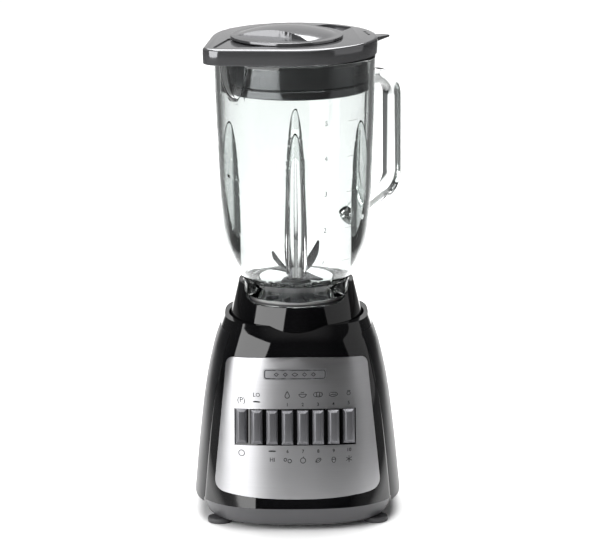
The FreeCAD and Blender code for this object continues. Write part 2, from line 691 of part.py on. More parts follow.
holders = []
brushes = []
springs = []
for name, side in (("left", "-1"), ("right", "1")):
    low, high = sorted((f"{side}*holder_inner", f"{side}*holder_outer"), key=amount)
    tube_half_y = "brush_half_y + brush_gap + holder_wall"
    tube = block(f"brush_tube_{name}", (low, f"-({tube_half_y})", "holder_base_bottom"),
                 (high, tube_half_y, "brush_top + brush_gap + holder_wall"))
    slide_room = block(f"brush_slide_{name}",
                       (f"({low}) - 1", "-brush_half_y - brush_gap", "brush_bottom - brush_gap"),
                       (f"({high}) + 1", "brush_half_y + brush_gap", "brush_top + brush_gap"))
    holders.append(cut(f"brush_holder_{name}", tube, slide_room))
    low, high = sorted((f"{side}*brush_inner", f"{side}*brush_outer"), key=amount)
    brushes.append(block(f"carbon_brush_{name}", (low, "-brush_half_y", "brush_bottom"),
                         (high, "brush_half_y", "brush_top")))
    coil = doc.addObject("Part::Cylinder", f"brush_spring_{name}")
    coil.setExpression("Radius", linked("spring_radius"))
    coil.setExpression("Height", linked("holder_outer - brush_outer"))
    reach = int(side) * size("brush_outer")
    coil.Placement = Placement(Vector(reach, 0, (size("brush_bottom") + size("brush_top")) / 2),
                               Rotation(Vector(0, 1, 0), 90 * int(side)))
    springs.append(coil)
node(group("brush_holders", holders))
node(group("carbon_brushes", brushes))
node(group("brush_springs", springs))

sizes(board_half_x=20, board_y=52, board_thickness=1.6, board_height=26, diode_radius=1.6,
      diode_length=8)
board = block("diode_board_plate", ("-board_half_x", "board_y", "cover_bottom + cover_floor"),
              ("board_half_x", "board_y + board_thickness",
               "cover_bottom + cover_floor + board_height"))
diodes = [cylinder(f"diode_{index}", "diode_radius", "cover_bottom + cover_floor + 10",
                   "diode_length", f"{(index - 1.5) * 8}", "board_y - diode_radius + 0.4")
          for index in range(4)]
node(fused("diode_board", board, *diodes))


# ---------------------------------------------------------------- jar collar and its inner pieces

sizes(neck_radius=41.2, rim_height=366, rim_radius=63.3, glass_wall=4,
      collar_seat_gap=0.4, collar_height=31.6, collar_radius_top=45.2, collar_clearance=0.7,
      web_rise=13, web_thickness=3, web_bore=33,
      collar_dip=172, collar_dip_half=41, collar_dip_corner=13, collar_skirt_bore=49.6,
      flange_radius=38.5, flange_thickness=3, boss_outer=12.5, boss_height=20,
      jar_bushing_radius=7.5, jar_bushing_length=17,
      gasket_inner=31, gasket_outer=39.5, gasket_thickness=2.3, seal_radius=7.5,
      seal_thickness=3, blade_lift=4, lug_count=3, lug_width=14, lug_proud=0.4, lug_height=3)

collar_bottom = "recess_floor + collar_seat_gap"
collar_top = f"{collar_bottom} + collar_height"
collar_bore = "neck_radius + collar_clearance"
web_bottom = "recess_floor + web_rise"
flange_bottom = f"{web_bottom} + web_thickness"
glass_foot = f"{flange_bottom} + flange_thickness + gasket_thickness"
boss_head = f"{web_bottom} + boss_height"
bushing_top = f"{web_bottom} + jar_bushing_length"
blade_root = f"{boss_head} + blade_lift"

collar_blank = turned(
    "collar_blank", ("collar_skirt_bore", collar_bottom), ("collar_radius_bottom", collar_bottom),
    ("collar_radius_top", collar_top), (collar_bore, collar_top),
    (collar_bore, flange_bottom), ("web_bore", flange_bottom), ("web_bore", web_bottom),
    (f"{collar_bore} + 2.5", web_bottom))
dip = block("collar_dip_blank", ("-collar_dip_half", "-100", "collar_dip"),
            ("collar_dip_half", "100", f"{collar_top} + 40"))
doc.recompute()
dip_edges = [index + 1 for index, edge in enumerate(dip.Shape.Edges)
             if abs(edge.CenterOfMass.z - size("collar_dip")) < 0.01 and abs(edge.CenterOfMass.x) > 1
             and edge.BoundBox.YLength > 1]
dip_rounded = doc.addObject("Part::Fillet", "collar_dip_rounded")
dip_rounded.Base = dip
dip_rounded.Edges = [(index, size("collar_dip_corner"), size("collar_dip_corner"))
                     for index in dip_edges]
node(cut("jar_collar", collar_blank, dip_rounded))

node(turned("blade_housing", ("jar_bushing_radius", web_bottom), ("boss_outer", web_bottom),
            ("boss_outer", flange_bottom), ("flange_radius", flange_bottom),
            ("flange_radius", f"{flange_bottom} + flange_thickness"),
            ("gasket_inner - 1", f"{flange_bottom} + flange_thickness"),
            ("boss_outer + 3", f"{flange_bottom} + flange_thickness + 2"),
            ("boss_outer", f"{boss_head} - 4"), ("boss_outer - 2.5", boss_head),
            ("jar_bushing_radius", boss_head)))
node(ring("jar_gasket", "gasket_inner", "gasket_outer", f"{flange_bottom} + flange_thickness",
          glass_foot))
node(ring("blade_bushing", "shaft_radius + bushing_running_gap", "jar_bushing_radius",
          web_bottom, bushing_top))
node(ring("shaft_seal", "shaft_radius + bushing_running_gap", "seal_radius", bushing_top,
          f"{bushing_top} + seal_thickness"))


# ---------------------------------------------------------------- blades and their drive

sizes(shaft_above_root=9.5, blade_thickness=1.2, upper_blade_reach=26, upper_blade_rise=20,
      lower_blade_reach=27, lower_blade_drop=2, blade_width=12, blade_hub_radius=8,
      washer_radius=5.8, washer_thickness=1.2, nut_across=5.5, nut_height=5, socket_radius=10.8,
      socket_rise=1.2, socket_gap=0.4, socket_clearance=0.35, blade_turn=35)

blade_shaft_bottom = f"{stud_top} + seam_gap"
blade_shaft_top = f"{blade_root} + shaft_above_root"
node(turned("blade_shaft", ("0", blade_shaft_bottom), ("shaft_radius", blade_shaft_bottom),
            ("shaft_radius", blade_shaft_top), ("0", blade_shaft_top)))

socket_bottom = size("recess_floor") + size("socket_rise")
socket_top = amount(web_bottom) - size("socket_gap")
socket_half = size("stud_half") + size("socket_clearance")
socket_shape = Part.makeCylinder(size("socket_radius"), socket_top - socket_bottom,
                                 Vector(0, 0, socket_bottom))
socket_shape = socket_shape.cut([
    box_shape((-socket_half, -socket_half, socket_bottom - 1),
              (socket_half, socket_half, amount(stud_top) + size("seam_gap"))),
    Part.makeCylinder(size("shaft_radius"), 40, Vector(0, 0, amount(stud_top)))])
solid_node("jar_drive_socket", socket_shape)


def blade_strip(reach, rise, bottom, turn, tip_width):
    """A flat hub strip with two arms that bend up (or down) to pointed, swept tips."""
    hub_radius = size("blade_hub_radius")
    thickness = size("blade_thickness")
    half = size("blade_width") / 2
    strip = Part.makeCylinder(hub_radius, thickness, Vector(0, 0, bottom))
    for direction in (0, 180):
        bend = hub_radius - 1
        run = reach - bend
        tilt = math.degrees(math.atan2(rise, run))
        length = math.hypot(run, rise)
        corners = [Vector(0, -half, 0), Vector(length * 0.55, -half, 0),
                   Vector(length, half - tip_width, 0), Vector(length * 0.7, half, 0),
                   Vector(0, half, 0)]
        arm = Part.Face(Part.makePolygon(corners + corners[:1])).extrude(Vector(0, 0, thickness))
        arm.rotate(Vector(0, 0, 0), Vector(0, 1, 0), -tilt)
        arm.translate(Vector(bend, 0, bottom))
        arm.rotate(Vector(0, 0, 0), Vector(0, 0, 1), direction)
        strip = strip.fuse(arm)
    strip = strip.cut(Part.makeCylinder(size("shaft_radius"), 60, Vector(0, 0, bottom - 30)))
    strip.rotate(Vector(0, 0, 0), Vector(0, 0, 1), turn)
    return strip


lower_level = amount(blade_root)
upper_level = lower_level + size("blade_thickness")
solid_node("lower_blade", blade_strip(size("lower_blade_reach"), -size("lower_blade_drop"),
                                      lower_level, size("blade_turn") + 90, 5))
solid_node("upper_blade", blade_strip(size("upper_blade_reach"), size("upper_blade_rise"),
                                      upper_level, size("blade_turn"), 3))
washer_bottom = f"{blade_root} + 2*blade_thickness"
node(ring("blade_washer", "shaft_radius", "washer_radius", washer_bottom,
          f"{washer_bottom} + washer_thickness"))
nut_blank = doc.addObject("Part::Prism", "blade_nut_blank")
nut_blank.Polygon = 6
nut_blank.setExpression("Circumradius", linked("nut_across * 1.1547"))
nut_blank.setExpression("Height", linked("nut_height"))
nut_blank.setExpression("Placement.Base.z", linked(f"{washer_bottom} + washer_thickness"))
node(cut("blade_nut", nut_blank, cylinder("blade_nut_bore", "shaft_radius", blade_root, "60")))


# ---------------------------------------------------------------- glass jar

JAR_LEVELS = ("neck", "flare", "bowl", "haunch", "belly", "waist", "chest", "rim")
sizes(neck_height=186, flare_height=192.5, flare_radius=46.4,
      bowl_height=202, bowl_radius=51.6, haunch_height=218, haunch_radius=56,
      belly_height=248, belly_radius=59, waist_height=289, waist_radius=60.9,
      chest_height=325, chest_radius=62.3, glass_foot_bore=29.5, glass_floor=187.5,
      rib_reach=8.5, rib_half_width=8.5, rib_top=312, rib_middle=222,
      handle_azimuth=40, handle_reach=101, handle_top=337.5, handle_bottom=247,
      handle_root_height=226, handle_root_radius=57, handle_thickness=11, handle_width=17,
      handle_bend=17, spout_azimuth=220, spout_reach=71, spout_half_width=15, spout_depth=34)

foot_height = amount(glass_foot)


def jar_solid(inset, base):
    """The jar's bowl as a solid of revolution, its outer outline drawn in by inset."""
    curve_points = [Vector(size(level + "_radius") - inset, 0, size(level + "_height"))
                    for level in JAR_LEVELS]
    side = smooth_wire(curve_points, False)
    start, end = curve_points[0], curve_points[-1]
    corners = [end, Vector(0, 0, end.z), Vector(0, 0, base), Vector(start.x, 0, base), start]
    edges = [Part.makeLine(a, b) for a, b in zip(corners, corners[1:])]
    face = Part.Face(Part.Wire(Part.__sortEdges__([side] + edges)))
    return face.revolve(Vector(0, 0, 0), Vector(0, 0, 1), 360)


def polar(radius, azimuth, height):
    angle = math.radians(azimuth)
    return Vector(radius * math.cos(angle), radius * math.sin(angle), height)


def spout(inset):
    """The pouring lip: a bulge at the rim that fades out downwards."""
    centre = polar(size("spout_reach") - 14, size("spout_azimuth"), size("rim_height"))
    bulge = ellipsoid(Vector(0, 0, 0), (14 - inset, size("spout_half_width") - inset,
                                        size("spout_depth") - inset))
    bulge.rotate(Vector(0, 0, 0), Vector(0, 0, 1), size("spout_azimuth"))
    bulge.translate(centre)
    return bulge


below_rim = Part.makeCylinder(200, size("rim_height"))
bowl_outer = jar_solid(0, foot_height)
bowl_inner = jar_solid(size("glass_wall"), foot_height)
above_floor = Part.makeCylinder(200, 300, Vector(0, 0, size("glass_floor")))
inside = bowl_inner.common(above_floor)
throat = Part.makeCone(size("glass_foot_bore"), size("glass_foot_bore") + 1,
                       size("glass_floor") - foot_height + 0.5, Vector(0, 0, foot_height))
inside = inside.fuse([throat, spout(size("glass_wall"))])

ribs = []
for azimuth in (0, 90, 180, 270):
    rib = ellipsoid(Vector(0, 0, 0), (size("rib_reach"), size("rib_half_width"),
                                      size("rib_top") - size("rib_middle")))
    rib.translate(Vector(size("haunch_radius") - size("glass_wall"), 0, size("rib_middle")))
    rib.rotate(Vector(0, 0, 0), Vector(0, 0, 1), azimuth)
    ribs.append(rib.common(bowl_outer).common(above_floor))

upright = [Vector(size("rim_radius") - 4, 0, size("handle_top")),
           Vector(size("handle_reach"), 0, size("handle_top")),
           Vector(size("handle_reach"), 0, size("handle_bottom")),
           Vector(size("handle_root_radius"), 0, size("handle_root_height"))]


def rounded_path(points, radius):
    """Straight runs joined by tangent arcs of one radius."""
    edges = []
    start = points[0]
    for before, corner, after in zip(points, points[1:], points[2:]):
        towards_start = (before - corner).normalize()
        towards_end = (after - corner).normalize()
        half = towards_start.getAngle(towards_end) / 2
        setback = radius / math.tan(half)
        first = corner + towards_start * setback
        last = corner + towards_end * setback
        inward = (towards_start + towards_end).normalize()
        middle = corner + inward * (radius / math.sin(half) - radius)
        edges.append(Part.makeLine(start, first))
        edges.append(Part.Arc(first, middle, last).toShape())
        start = last
    edges.append(Part.makeLine(start, points[-1]))
    return Part.Wire(edges)


handle_path = rounded_path(upright, size("handle_bend"))
section = Part.Ellipse(Vector(0, 0, 0), size("handle_width") / 2, size("handle_thickness") / 2)
section_wire = Part.Wire(section.toShape())
section_wire.rotate(Vector(0, 0, 0), Vector(0, 0, 1), 90)
section_wire.rotate(Vector(0, 0, 0), Vector(0, 1, 0), 90)
section_wire.translate(upright[0])
handle = handle_path.makePipeShell([section_wire], True, True)
handle.rotate(Vector(0, 0, 0), Vector(0, 0, 1), size("handle_azimuth"))
if handle.Volume < 0:
    handle.reverse()

lugs = []
for index in range(int(size("lug_count"))):
    lug = box_shape((size("neck_radius") - 3, -size("lug_width") / 2, foot_height + 1),
                    (size("neck_radius") + size("lug_proud"), size("lug_width") / 2,
                     foot_height + 1 + size("lug_height")))
    lug = lug.common(Part.makeCylinder(size("neck_radius") + size("lug_proud"), 400))
    lug.rotate(Vector(0, 0, 0), Vector(0, 0, 1), 360 * index / size("lug_count") + 90)
    lugs.append(lug)

jar_outer = bowl_outer.fuse([spout(0).common(below_rim), handle])
jar_shape = jar_outer.cut(inside).fuse(ribs + lugs)
solid_node("glass_jar", max(jar_shape.Solids, key=lambda solid: solid.Volume))


# ---------------------------------------------------------------- lid, gasket, filler cap

sizes(lid_overhang=1.7, lid_gap=0.4, lid_height=12.6, lid_plate=4, lid_edge_round=2.5,
      skirt_gap=1.8, skirt_wall=2.5, skirt_drop=28.4, groove_drop=20.4, groove_depth=2.5,
      lid_gasket_gap=1.2, nose_radius=14, nose_reach=74, nose_azimuth=220,
      tab_azimuth=35, tab_reach=91, tab_half_width=13, tab_tip_half=3, tab_lift=0.6, tab_thickness=5,
      filler_x=-6, filler_y=-6, filler_radius=27, filler_wall=2.5, filler_depth=22,
      cap_radius=44, cap_rise=8.5, cap_gap=0.3, plug_wall=2.2, plug_depth=24,
      scoop_x=-46.1, scoop_y=-82.8, scoop_radius=79, scoop_floor=2.2)

lid_bottom = size("rim_height") + size("lid_gap")
lid_top = lid_bottom + size("lid_height")
lid_radius = size("rim_radius") + size("lid_overhang")
skirt_radius = size("rim_radius") - size("glass_wall") - size("skirt_gap")
skirt_bottom = lid_bottom - size("skirt_drop")
groove_top = lid_bottom - size("groove_drop")
tab_bottom = lid_bottom + size("tab_lift")


def tangent_hull(big_radius, small_radius, distance, azimuth, bottom, top):
    """Everything between two circles and their outer tangents, as a prism."""
    half = math.degrees(math.acos((big_radius - small_radius) / distance))
    corners = [polar(big_radius, half, bottom), polar(small_radius, half, bottom),
               polar(small_radius, -half, bottom), polar(big_radius, -half, bottom)]
    corners[1] += Vector(distance, 0, 0)
    corners[2] += Vector(distance, 0, 0)
    nose = Part.Arc(corners[1], Vector(distance + small_radius, 0, bottom), corners[2]).toShape()
    body = Part.Arc(corners[3], Vector(-big_radius, 0, bottom), corners[0]).toShape()
    face = Part.Face(Part.Wire([Part.makeLine(corners[0], corners[1]), nose,
                                Part.makeLine(corners[2], corners[3]), body]))
    hull = face.extrude(Vector(0, 0, top - bottom))
    hull.rotate(Vector(0, 0, 0), Vector(0, 0, 1), azimuth)
    return hull


plate = tangent_hull(lid_radius, size("nose_radius"), size("nose_reach"),
                     size("nose_azimuth"), lid_bottom, lid_top)
top_edges = [edge for edge in plate.Edges if abs(edge.CenterOfMass.z - lid_top) < 0.01
             and edge.BoundBox.ZLength < 0.01]
plate = plate.makeFillet(size("lid_edge_round"), top_edges)
skirt_inner = skirt_radius - size("skirt_wall")
groove_radius = skirt_radius - size("groove_depth")
skirt = Part.makeCylinder(skirt_radius, lid_bottom - groove_top + 1,
                          Vector(0, 0, groove_top))
skirt = skirt.fuse(Part.makeCylinder(groove_radius, groove_top - skirt_bottom,
                                     Vector(0, 0, skirt_bottom)))
tab_corners = [Vector(lid_radius - 4, -size("tab_half_width"), tab_bottom),
               Vector(size("tab_reach"), -size("tab_tip_half"), tab_bottom),
               Vector(size("tab_reach"), size("tab_tip_half"), tab_bottom),
               Vector(lid_radius - 4, size("tab_half_width"), tab_bottom)]
tab = Part.Face(Part.makePolygon(tab_corners + tab_corners[:1])).extrude(
    Vector(0, 0, size("tab_thickness")))
tab.rotate(Vector(0, 0, 0), Vector(0, 0, 1), size("tab_azimuth"))

filler_centre = Vector(size("filler_x"), size("filler_y"), 0)
under_plate = lid_top - size("lid_plate")
step_height = groove_top + size("skirt_wall")
hollow = Part.makeCylinder(skirt_inner, under_plate - step_height, Vector(0, 0, step_height))
hollow = hollow.fuse(Part.makeCylinder(groove_radius - size("skirt_wall"), 60,
                                       Vector(0, 0, step_height - 59)))
neck_bottom = lid_top - size("filler_depth")
neck = Part.makeCylinder(size("filler_radius") + size("filler_wall"), size("filler_depth") - 1,
                         filler_centre + Vector(0, 0, neck_bottom))
filler_hole = Part.makeCylinder(size("filler_radius"), 100,
                                filler_centre + Vector(0, 0, neck_bottom - 1))
lid_shape = plate.fuse([skirt, tab]).cut(hollow).fuse(neck).cut(filler_hole)
solid_node("lid", lid_shape)

node(ring("lid_gasket", "rim_radius - glass_wall - skirt_gap - groove_depth",
          "rim_radius - glass_wall - lid_gasket_gap",
          "rim_height + lid_gap - skirt_drop + 0.5", "rim_height + lid_gap - groove_drop - 0.5"))

cap_bottom = lid_top + size("cap_gap")
cap_radius = size("cap_radius")
rise = size("cap_rise")
dome_radius = (cap_radius ** 2 + rise ** 2) / (2 * rise)
dome = Part.makeSphere(dome_radius, filler_centre + Vector(0, 0, cap_bottom + rise - dome_radius))
dome = dome.common(Part.makeCylinder(cap_radius, 60, filler_centre + Vector(0, 0, cap_bottom)))
disc = Part.makeCylinder(cap_radius, size("scoop_floor"), filler_centre + Vector(0, 0, cap_bottom))
scoop = Part.makeCylinder(size("scoop_radius"), 40, filler_centre
                          + Vector(size("scoop_x"), size("scoop_y"), cap_bottom + size("scoop_floor")))
plug_radius = size("filler_radius") - size("cap_gap")
plug = Part.makeCylinder(plug_radius, size("plug_depth"),
                         filler_centre + Vector(0, 0, cap_bottom - size("plug_depth")))
plug_hollow = Part.makeCylinder(plug_radius - size("plug_wall"), size("plug_depth"),
                                filler_centre + Vector(0, 0, cap_bottom - size("plug_depth")))
cap_shape = dome.fuse(disc).cut(scoop).fuse(plug).cut(plug_hollow)
solid_node("filler_cap", cap_shape)


# ---------------------------------------------------------------- check and write

doc.recompute()
for item in doc.Objects:
    if any(word in state for state in item.State for word in ("Invalid", "Error")):
        raise RuntimeError(f"{item.Label} failed: {item.State}")
for piece in nodes:
    if piece.Shape.isNull() or not piece.Shape.isValid() or piece.Shape.Volume <= 0:
        raise RuntimeError(f"{piece.Label} has no sound shape")

os.makedirs("parts", exist_ok=True)
for piece in nodes:
    piece.Shape.exportStep(f"parts/{piece.Label}.step")
    box = piece.Shape.BoundBox
    print(f"{piece.Label:26s} solids {len(piece.Shape.Solids)}  volume {piece.Shape.Volume:10.1f}  "
          f"z {box.ZMin:7.2f} to {box.ZMax:7.2f}")
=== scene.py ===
import json
import math
import bpy
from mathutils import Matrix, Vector

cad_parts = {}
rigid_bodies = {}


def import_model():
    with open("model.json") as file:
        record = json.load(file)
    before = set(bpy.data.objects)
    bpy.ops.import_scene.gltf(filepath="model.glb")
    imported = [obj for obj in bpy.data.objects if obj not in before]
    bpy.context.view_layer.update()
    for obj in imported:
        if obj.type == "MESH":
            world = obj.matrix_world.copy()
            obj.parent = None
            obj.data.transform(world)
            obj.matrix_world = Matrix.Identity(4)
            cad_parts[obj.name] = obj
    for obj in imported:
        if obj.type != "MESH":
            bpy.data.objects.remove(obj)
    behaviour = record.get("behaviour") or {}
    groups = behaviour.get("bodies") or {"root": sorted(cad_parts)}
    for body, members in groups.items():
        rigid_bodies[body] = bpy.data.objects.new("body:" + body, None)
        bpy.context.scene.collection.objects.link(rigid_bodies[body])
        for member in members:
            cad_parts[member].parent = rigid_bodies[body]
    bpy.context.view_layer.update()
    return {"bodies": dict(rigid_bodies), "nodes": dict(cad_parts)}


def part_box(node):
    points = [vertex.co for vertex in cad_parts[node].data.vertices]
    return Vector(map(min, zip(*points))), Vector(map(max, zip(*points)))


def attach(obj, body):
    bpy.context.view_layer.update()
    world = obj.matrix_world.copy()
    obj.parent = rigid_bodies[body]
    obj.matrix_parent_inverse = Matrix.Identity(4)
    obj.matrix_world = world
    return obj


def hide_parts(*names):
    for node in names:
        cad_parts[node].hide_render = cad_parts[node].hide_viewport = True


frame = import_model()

bodies, nodes = frame["bodies"], frame["nodes"]


# ---- Counter, backdrop and camera ---------------------------------------------------------------
# The blender stands on a plain white sweep, seen from three metres away and a little above,
# so that the jar's rim and the deck both show as narrow ellipses.

def colour(code):
    """An sRGB hex value as linear red, green, blue and alpha."""
    channels = [int(code[place:place + 2], 16) / 255 for place in (0, 2, 4)]
    linear = [value / 12.92 if value <= 0.04045 else ((value + 0.055) / 1.055) ** 2.4
              for value in channels]
    return (*linear, 1.0)


def add_node(material, kind, inputs=None, **settings):
    """Adds a node with its settings; an input is a plain value or the output it is linked to."""
    tree = material.node_tree
    made = tree.nodes.new(kind)
    for name, value in settings.items():
        setattr(made, name, value)
    for socket, value in (inputs or {}).items():
        if isinstance(value, bpy.types.NodeSocket):
            tree.links.new(value, made.inputs[socket])
        else:
            made.inputs[socket].default_value = value
    return made


def new_material(name):
    material = bpy.data.materials.new(name)
    material.use_nodes = True
    material.node_tree.nodes.clear()
    return material


def finish_material(material, shader):
    add_node(material, "ShaderNodeOutputMaterial", {"Surface": shader.outputs[0]})
    return material


# White matt backdrop paper: faint fibre mottling and no shine. Shade is painted into its colour: it
# is painted grey at the sides and towards the camera, as if it were lit only as a narrow sweep that
# runs back from the blender.
paper = new_material("matt_backdrop_paper")
place = add_node(paper, "ShaderNodeTexCoord").outputs["Object"]
sides = add_node(paper, "ShaderNodeSeparateXYZ", {"Vector": place})
across = add_node(paper, "ShaderNodeMath", {0: sides.outputs["X"]}, operation="ABSOLUTE")
widening = add_node(paper, "ShaderNodeMath", {0: sides.outputs["Y"], 1: -0.08,
                                              2: across.outputs["Value"]},
                    operation="MULTIPLY_ADD")
outward = add_node(paper, "ShaderNodeMapRange", {"Value": widening.outputs["Value"],
                                                 "From Min": 0.26, "From Max": 0.44})
forward = add_node(paper, "ShaderNodeMapRange", {"Value": sides.outputs["Y"], "From Min": -0.2,
                                                 "From Max": -0.6})
# Painted shade mask: it grows towards either side and towards the camera.
painted_shade_mask = add_node(paper, "ShaderNodeMath", {0: outward.outputs["Result"],
                                            1: forward.outputs["Result"]}, operation="MAXIMUM")
fibre = add_node(paper, "ShaderNodeTexNoise", {"Vector": place, "Scale": 90.0, "Detail": 4.0})
bright = add_node(paper, "ShaderNodeMix", {"Factor": fibre.outputs["Fac"], "A": colour("f6f6f6"),
                                           "B": colour("fbfbfb")}, data_type="RGBA")
# The fibre tone is mixed towards a painted grey shade by that mask.
paper_fibre_and_painted_shade = add_node(paper, "ShaderNodeMix", {"Factor": painted_shade_mask.outputs["Value"],
                                               "A": bright.outputs["Result"],
                                               "B": colour("5a5a5a")}, data_type="RGBA")
finish_material(paper, add_node(paper, "ShaderNodeBsdfPrincipled",
                                {"Base Color": paper_fibre_and_painted_shade.outputs["Result"], "Roughness": 0.9,
                                 "Specular IOR Level": 0.1}))

bpy.ops.object.select_all(action="DESELECT")
bpy.ops.mesh.primitive_plane_add(size=12)
counter = bpy.context.object
counter.name = "counter"
counter.data.materials.append(paper)

CAMERA_DISTANCE, CAMERA_HEIGHT = 3.0, 0.892
CAMERA_PITCH, CAMERA_ROLL = math.radians(13.22), math.radians(-0.4)
bpy.ops.object.camera_add(location=(0, -CAMERA_DISTANCE, CAMERA_HEIGHT),
                          rotation=(math.radians(90) - CAMERA_PITCH, 0, 0))
camera = bpy.context.object
camera.rotation_euler.rotate_axis("Z", CAMERA_ROLL)
camera.data.lens = 233.6
camera.data.shift_x = 0.0065
bpy.context.scene.camera = camera


# ---- Studio light -------------------------------------------------------------------------------
# A tall soft box stands to the left, a dimmer one to the right and a broad one hangs above. The
# room behind the camera stays dark, which gives the black parts their edges.

bpy.context.scene.view_settings.view_transform = "Standard"
world = bpy.data.worlds.new("studio")
bpy.context.scene.world = world
world.use_nodes = True
world.node_tree.nodes.clear()
direction = add_node(world, "ShaderNodeTexCoord").outputs["Generated"]
along = add_node(world, "ShaderNodeSeparateXYZ", {"Vector": direction})
away = add_node(world, "ShaderNodeMath", {0: along.outputs["Y"], 1: along.outputs["Z"]},
                operation="ADD")
glow = add_node(world, "ShaderNodeMapRange", {"Value": away.outputs["Value"], "From Min": -0.15,
                                              "From Max": 0.9, "To Min": 0.03, "To Max": 0.6})
sideways = add_node(world, "ShaderNodeMath", {0: along.outputs["X"]}, operation="ABSOLUTE")
narrow = add_node(world, "ShaderNodeMapRange", {"Value": sideways.outputs["Value"],
                                                "From Min": 0.12, "From Max": 0.45,
                                                "To Min": 1.0, "To Max": 0.15})
shine = add_node(world, "ShaderNodeMath", {0: glow.outputs["Result"],
                                           1: narrow.outputs["Result"]}, operation="MULTIPLY")
sky = add_node(world, "ShaderNodeBackground", {"Color": (1, 1, 1, 1),
                                               "Strength": shine.outputs["Value"]})
add_node(world, "ShaderNodeOutputWorld", {"Surface": sky.outputs["Background"]})

OBJECT_MIDDLE = Vector((0, 0, 0.2))


def soft_box(name, azimuth, elevation, distance, width, height, power):
    """A rectangular area light that faces the blender; azimuth 0 is the camera's side."""
    turn, rise = math.radians(azimuth), math.radians(elevation)
    offset = Vector((math.sin(turn) * math.cos(rise), -math.cos(turn) * math.cos(rise),
                     math.sin(rise)))
    bpy.ops.object.light_add(type="AREA", location=OBJECT_MIDDLE + offset * distance)
    lamp = bpy.context.object
    lamp.name = name
    lamp.rotation_euler = offset.to_track_quat("Z", "Y").to_euler()
    lamp.data.shape = "RECTANGLE"
    lamp.data.size, lamp.data.size_y = width, height
    lamp.data.energy = power
    return lamp


soft_box("left_box", -50, 16, 1.6, 1.7, 1.4, 28)
soft_box("right_box", 82, 14, 1.8, 1.8, 1.5, 4)
soft_box("top_box", 0, 84, 2.2, 2.0, 2.0, 30)
soft_box("back_box", 180, 62, 2.6, 2.4, 2.4, 120)


# ---- Casing: gloss housing ----------------------------------------------------------------------
# The tapered housing is one ABS moulding with a polished black skin. Its plan is a rounded square
# that shrinks upwards to the round recess in which the jar collar sits.

CASING_LEVELS = (  # height, half width, reach to the front, reach to the back, in metres
    (0.016, 0.0815, 0.0805, 0.0790), (0.060, 0.0773, 0.0737, 0.0765),
    (0.102, 0.0720, 0.0673, 0.0725), (0.133, 0.0654, 0.0624, 0.0660),
    (0.148, 0.0603, 0.0566, 0.0605), (0.158, 0.0566, 0.0500, 0.0560))
CASING_SQUARENESS = 2.8
COVER_TOP = 0.018
SEAM_GAP = 0.0003
SIDE_PANEL_THICKNESS, SIDE_PANEL_STRIP, SIDE_PANEL_TOP = 0.002, 0.008, 0.150
CASING_WALL = 0.0032
DECK_UNDERSIDE, RECESS_FLOOR, RECESS_RADIUS = 0.150, 0.153, 0.0535


def smooth_through(levels, height):
    """The measures at a height, on smooth curves through levels that each open with a height."""
    place = 0
    while place < len(levels) - 2 and height > levels[place + 1][0]:
        place += 1
    low, high = levels[place], levels[place + 1]
    before = levels[max(place - 1, 0)]
    after = levels[min(place + 2, len(levels) - 1)]
    span = high[0] - low[0]
    share = (height - low[0]) / span
    measures = []
    for kind in range(1, len(low)):
        slope_low = (high[kind] - before[kind]) / (high[0] - before[0])
        slope_high = (after[kind] - low[kind]) / (after[0] - low[0])
        measures.append((2 * share ** 3 - 3 * share ** 2 + 1) * low[kind]
                        + (share ** 3 - 2 * share ** 2 + share) * span * slope_low
                        + (3 * share ** 2 - 2 * share ** 3) * high[kind]
                        + (share ** 3 - share ** 2) * span * slope_high)
    return measures


def casing_measures(height):
    """Half width, reach to the front and reach to the back of the casing at a height."""
    return smooth_through(CASING_LEVELS, height)


def rounded_square(angle, half_width, front, back):
    power = 2 / CASING_SQUARENESS
    across = math.copysign(abs(math.cos(angle)) ** power, math.cos(angle))
    along = math.copysign(abs(math.sin(angle)) ** power, math.sin(angle))
    return half_width * across, (back if along > 0 else front) * along


def front_depth(x, height, proud=0.0):
    """How far forward a skin on the casing lies at a place across it and a height."""
    half_width, front, _ = casing_measures(height)
    share = abs(x) / (half_width + proud)
    return (front + proud) * (1 - share ** CASING_SQUARENESS) ** (1 / CASING_SQUARENESS)


def clear_selection():
    if bpy.context.object and bpy.context.object.mode != "OBJECT":
        bpy.ops.object.mode_set(mode="OBJECT")
    bpy.ops.object.select_all(action="DESELECT")


def settle():
    """Moves the active piece's place, turn and size into its mesh."""
    bpy.ops.object.transform_apply(location=True, rotation=True, scale=True)


def casing_solid(name, inset, bottom, top, measures=casing_measures, around=144, rows=44):
    """A closed body inside the casing's surface: a grid wrapped round, its ends filled."""
    clear_selection()
    bpy.ops.mesh.primitive_grid_add(x_subdivisions=around, y_subdivisions=rows, size=1)
    body = bpy.context.object
    body.name = name
    for vertex in body.data.vertices:
        angle = 2 * math.pi * (vertex.co.x + 0.5)
        height = bottom + (top - bottom) * (vertex.co.y + 0.5)
        half_width, front, back = (reach - inset for reach in measures(height))
        x, y = rounded_square(angle, half_width, front, back)
        vertex.co = (x, y, height)
    bpy.ops.object.mode_set(mode="EDIT")
    bpy.ops.mesh.select_all(action="SELECT")
    bpy.ops.mesh.remove_doubles(threshold=1e-6)
    bpy.ops.mesh.select_all(action="DESELECT")
    bpy.ops.mesh.select_non_manifold()
    bpy.ops.mesh.edge_face_add()
    bpy.ops.mesh.select_all(action="SELECT")
    bpy.ops.mesh.normals_make_consistent(inside=False)
    bpy.ops.object.mode_set(mode="OBJECT")
    return body


def box_solid(name, low, high):
    clear_selection()
    middle = [(a + b) / 2 for a, b in zip(low, high)]
    extent = [b - a for a, b in zip(low, high)]
    bpy.ops.mesh.primitive_cube_add(size=1, location=middle, scale=extent)
    settle()
    bpy.context.object.name = name
    return bpy.context.object


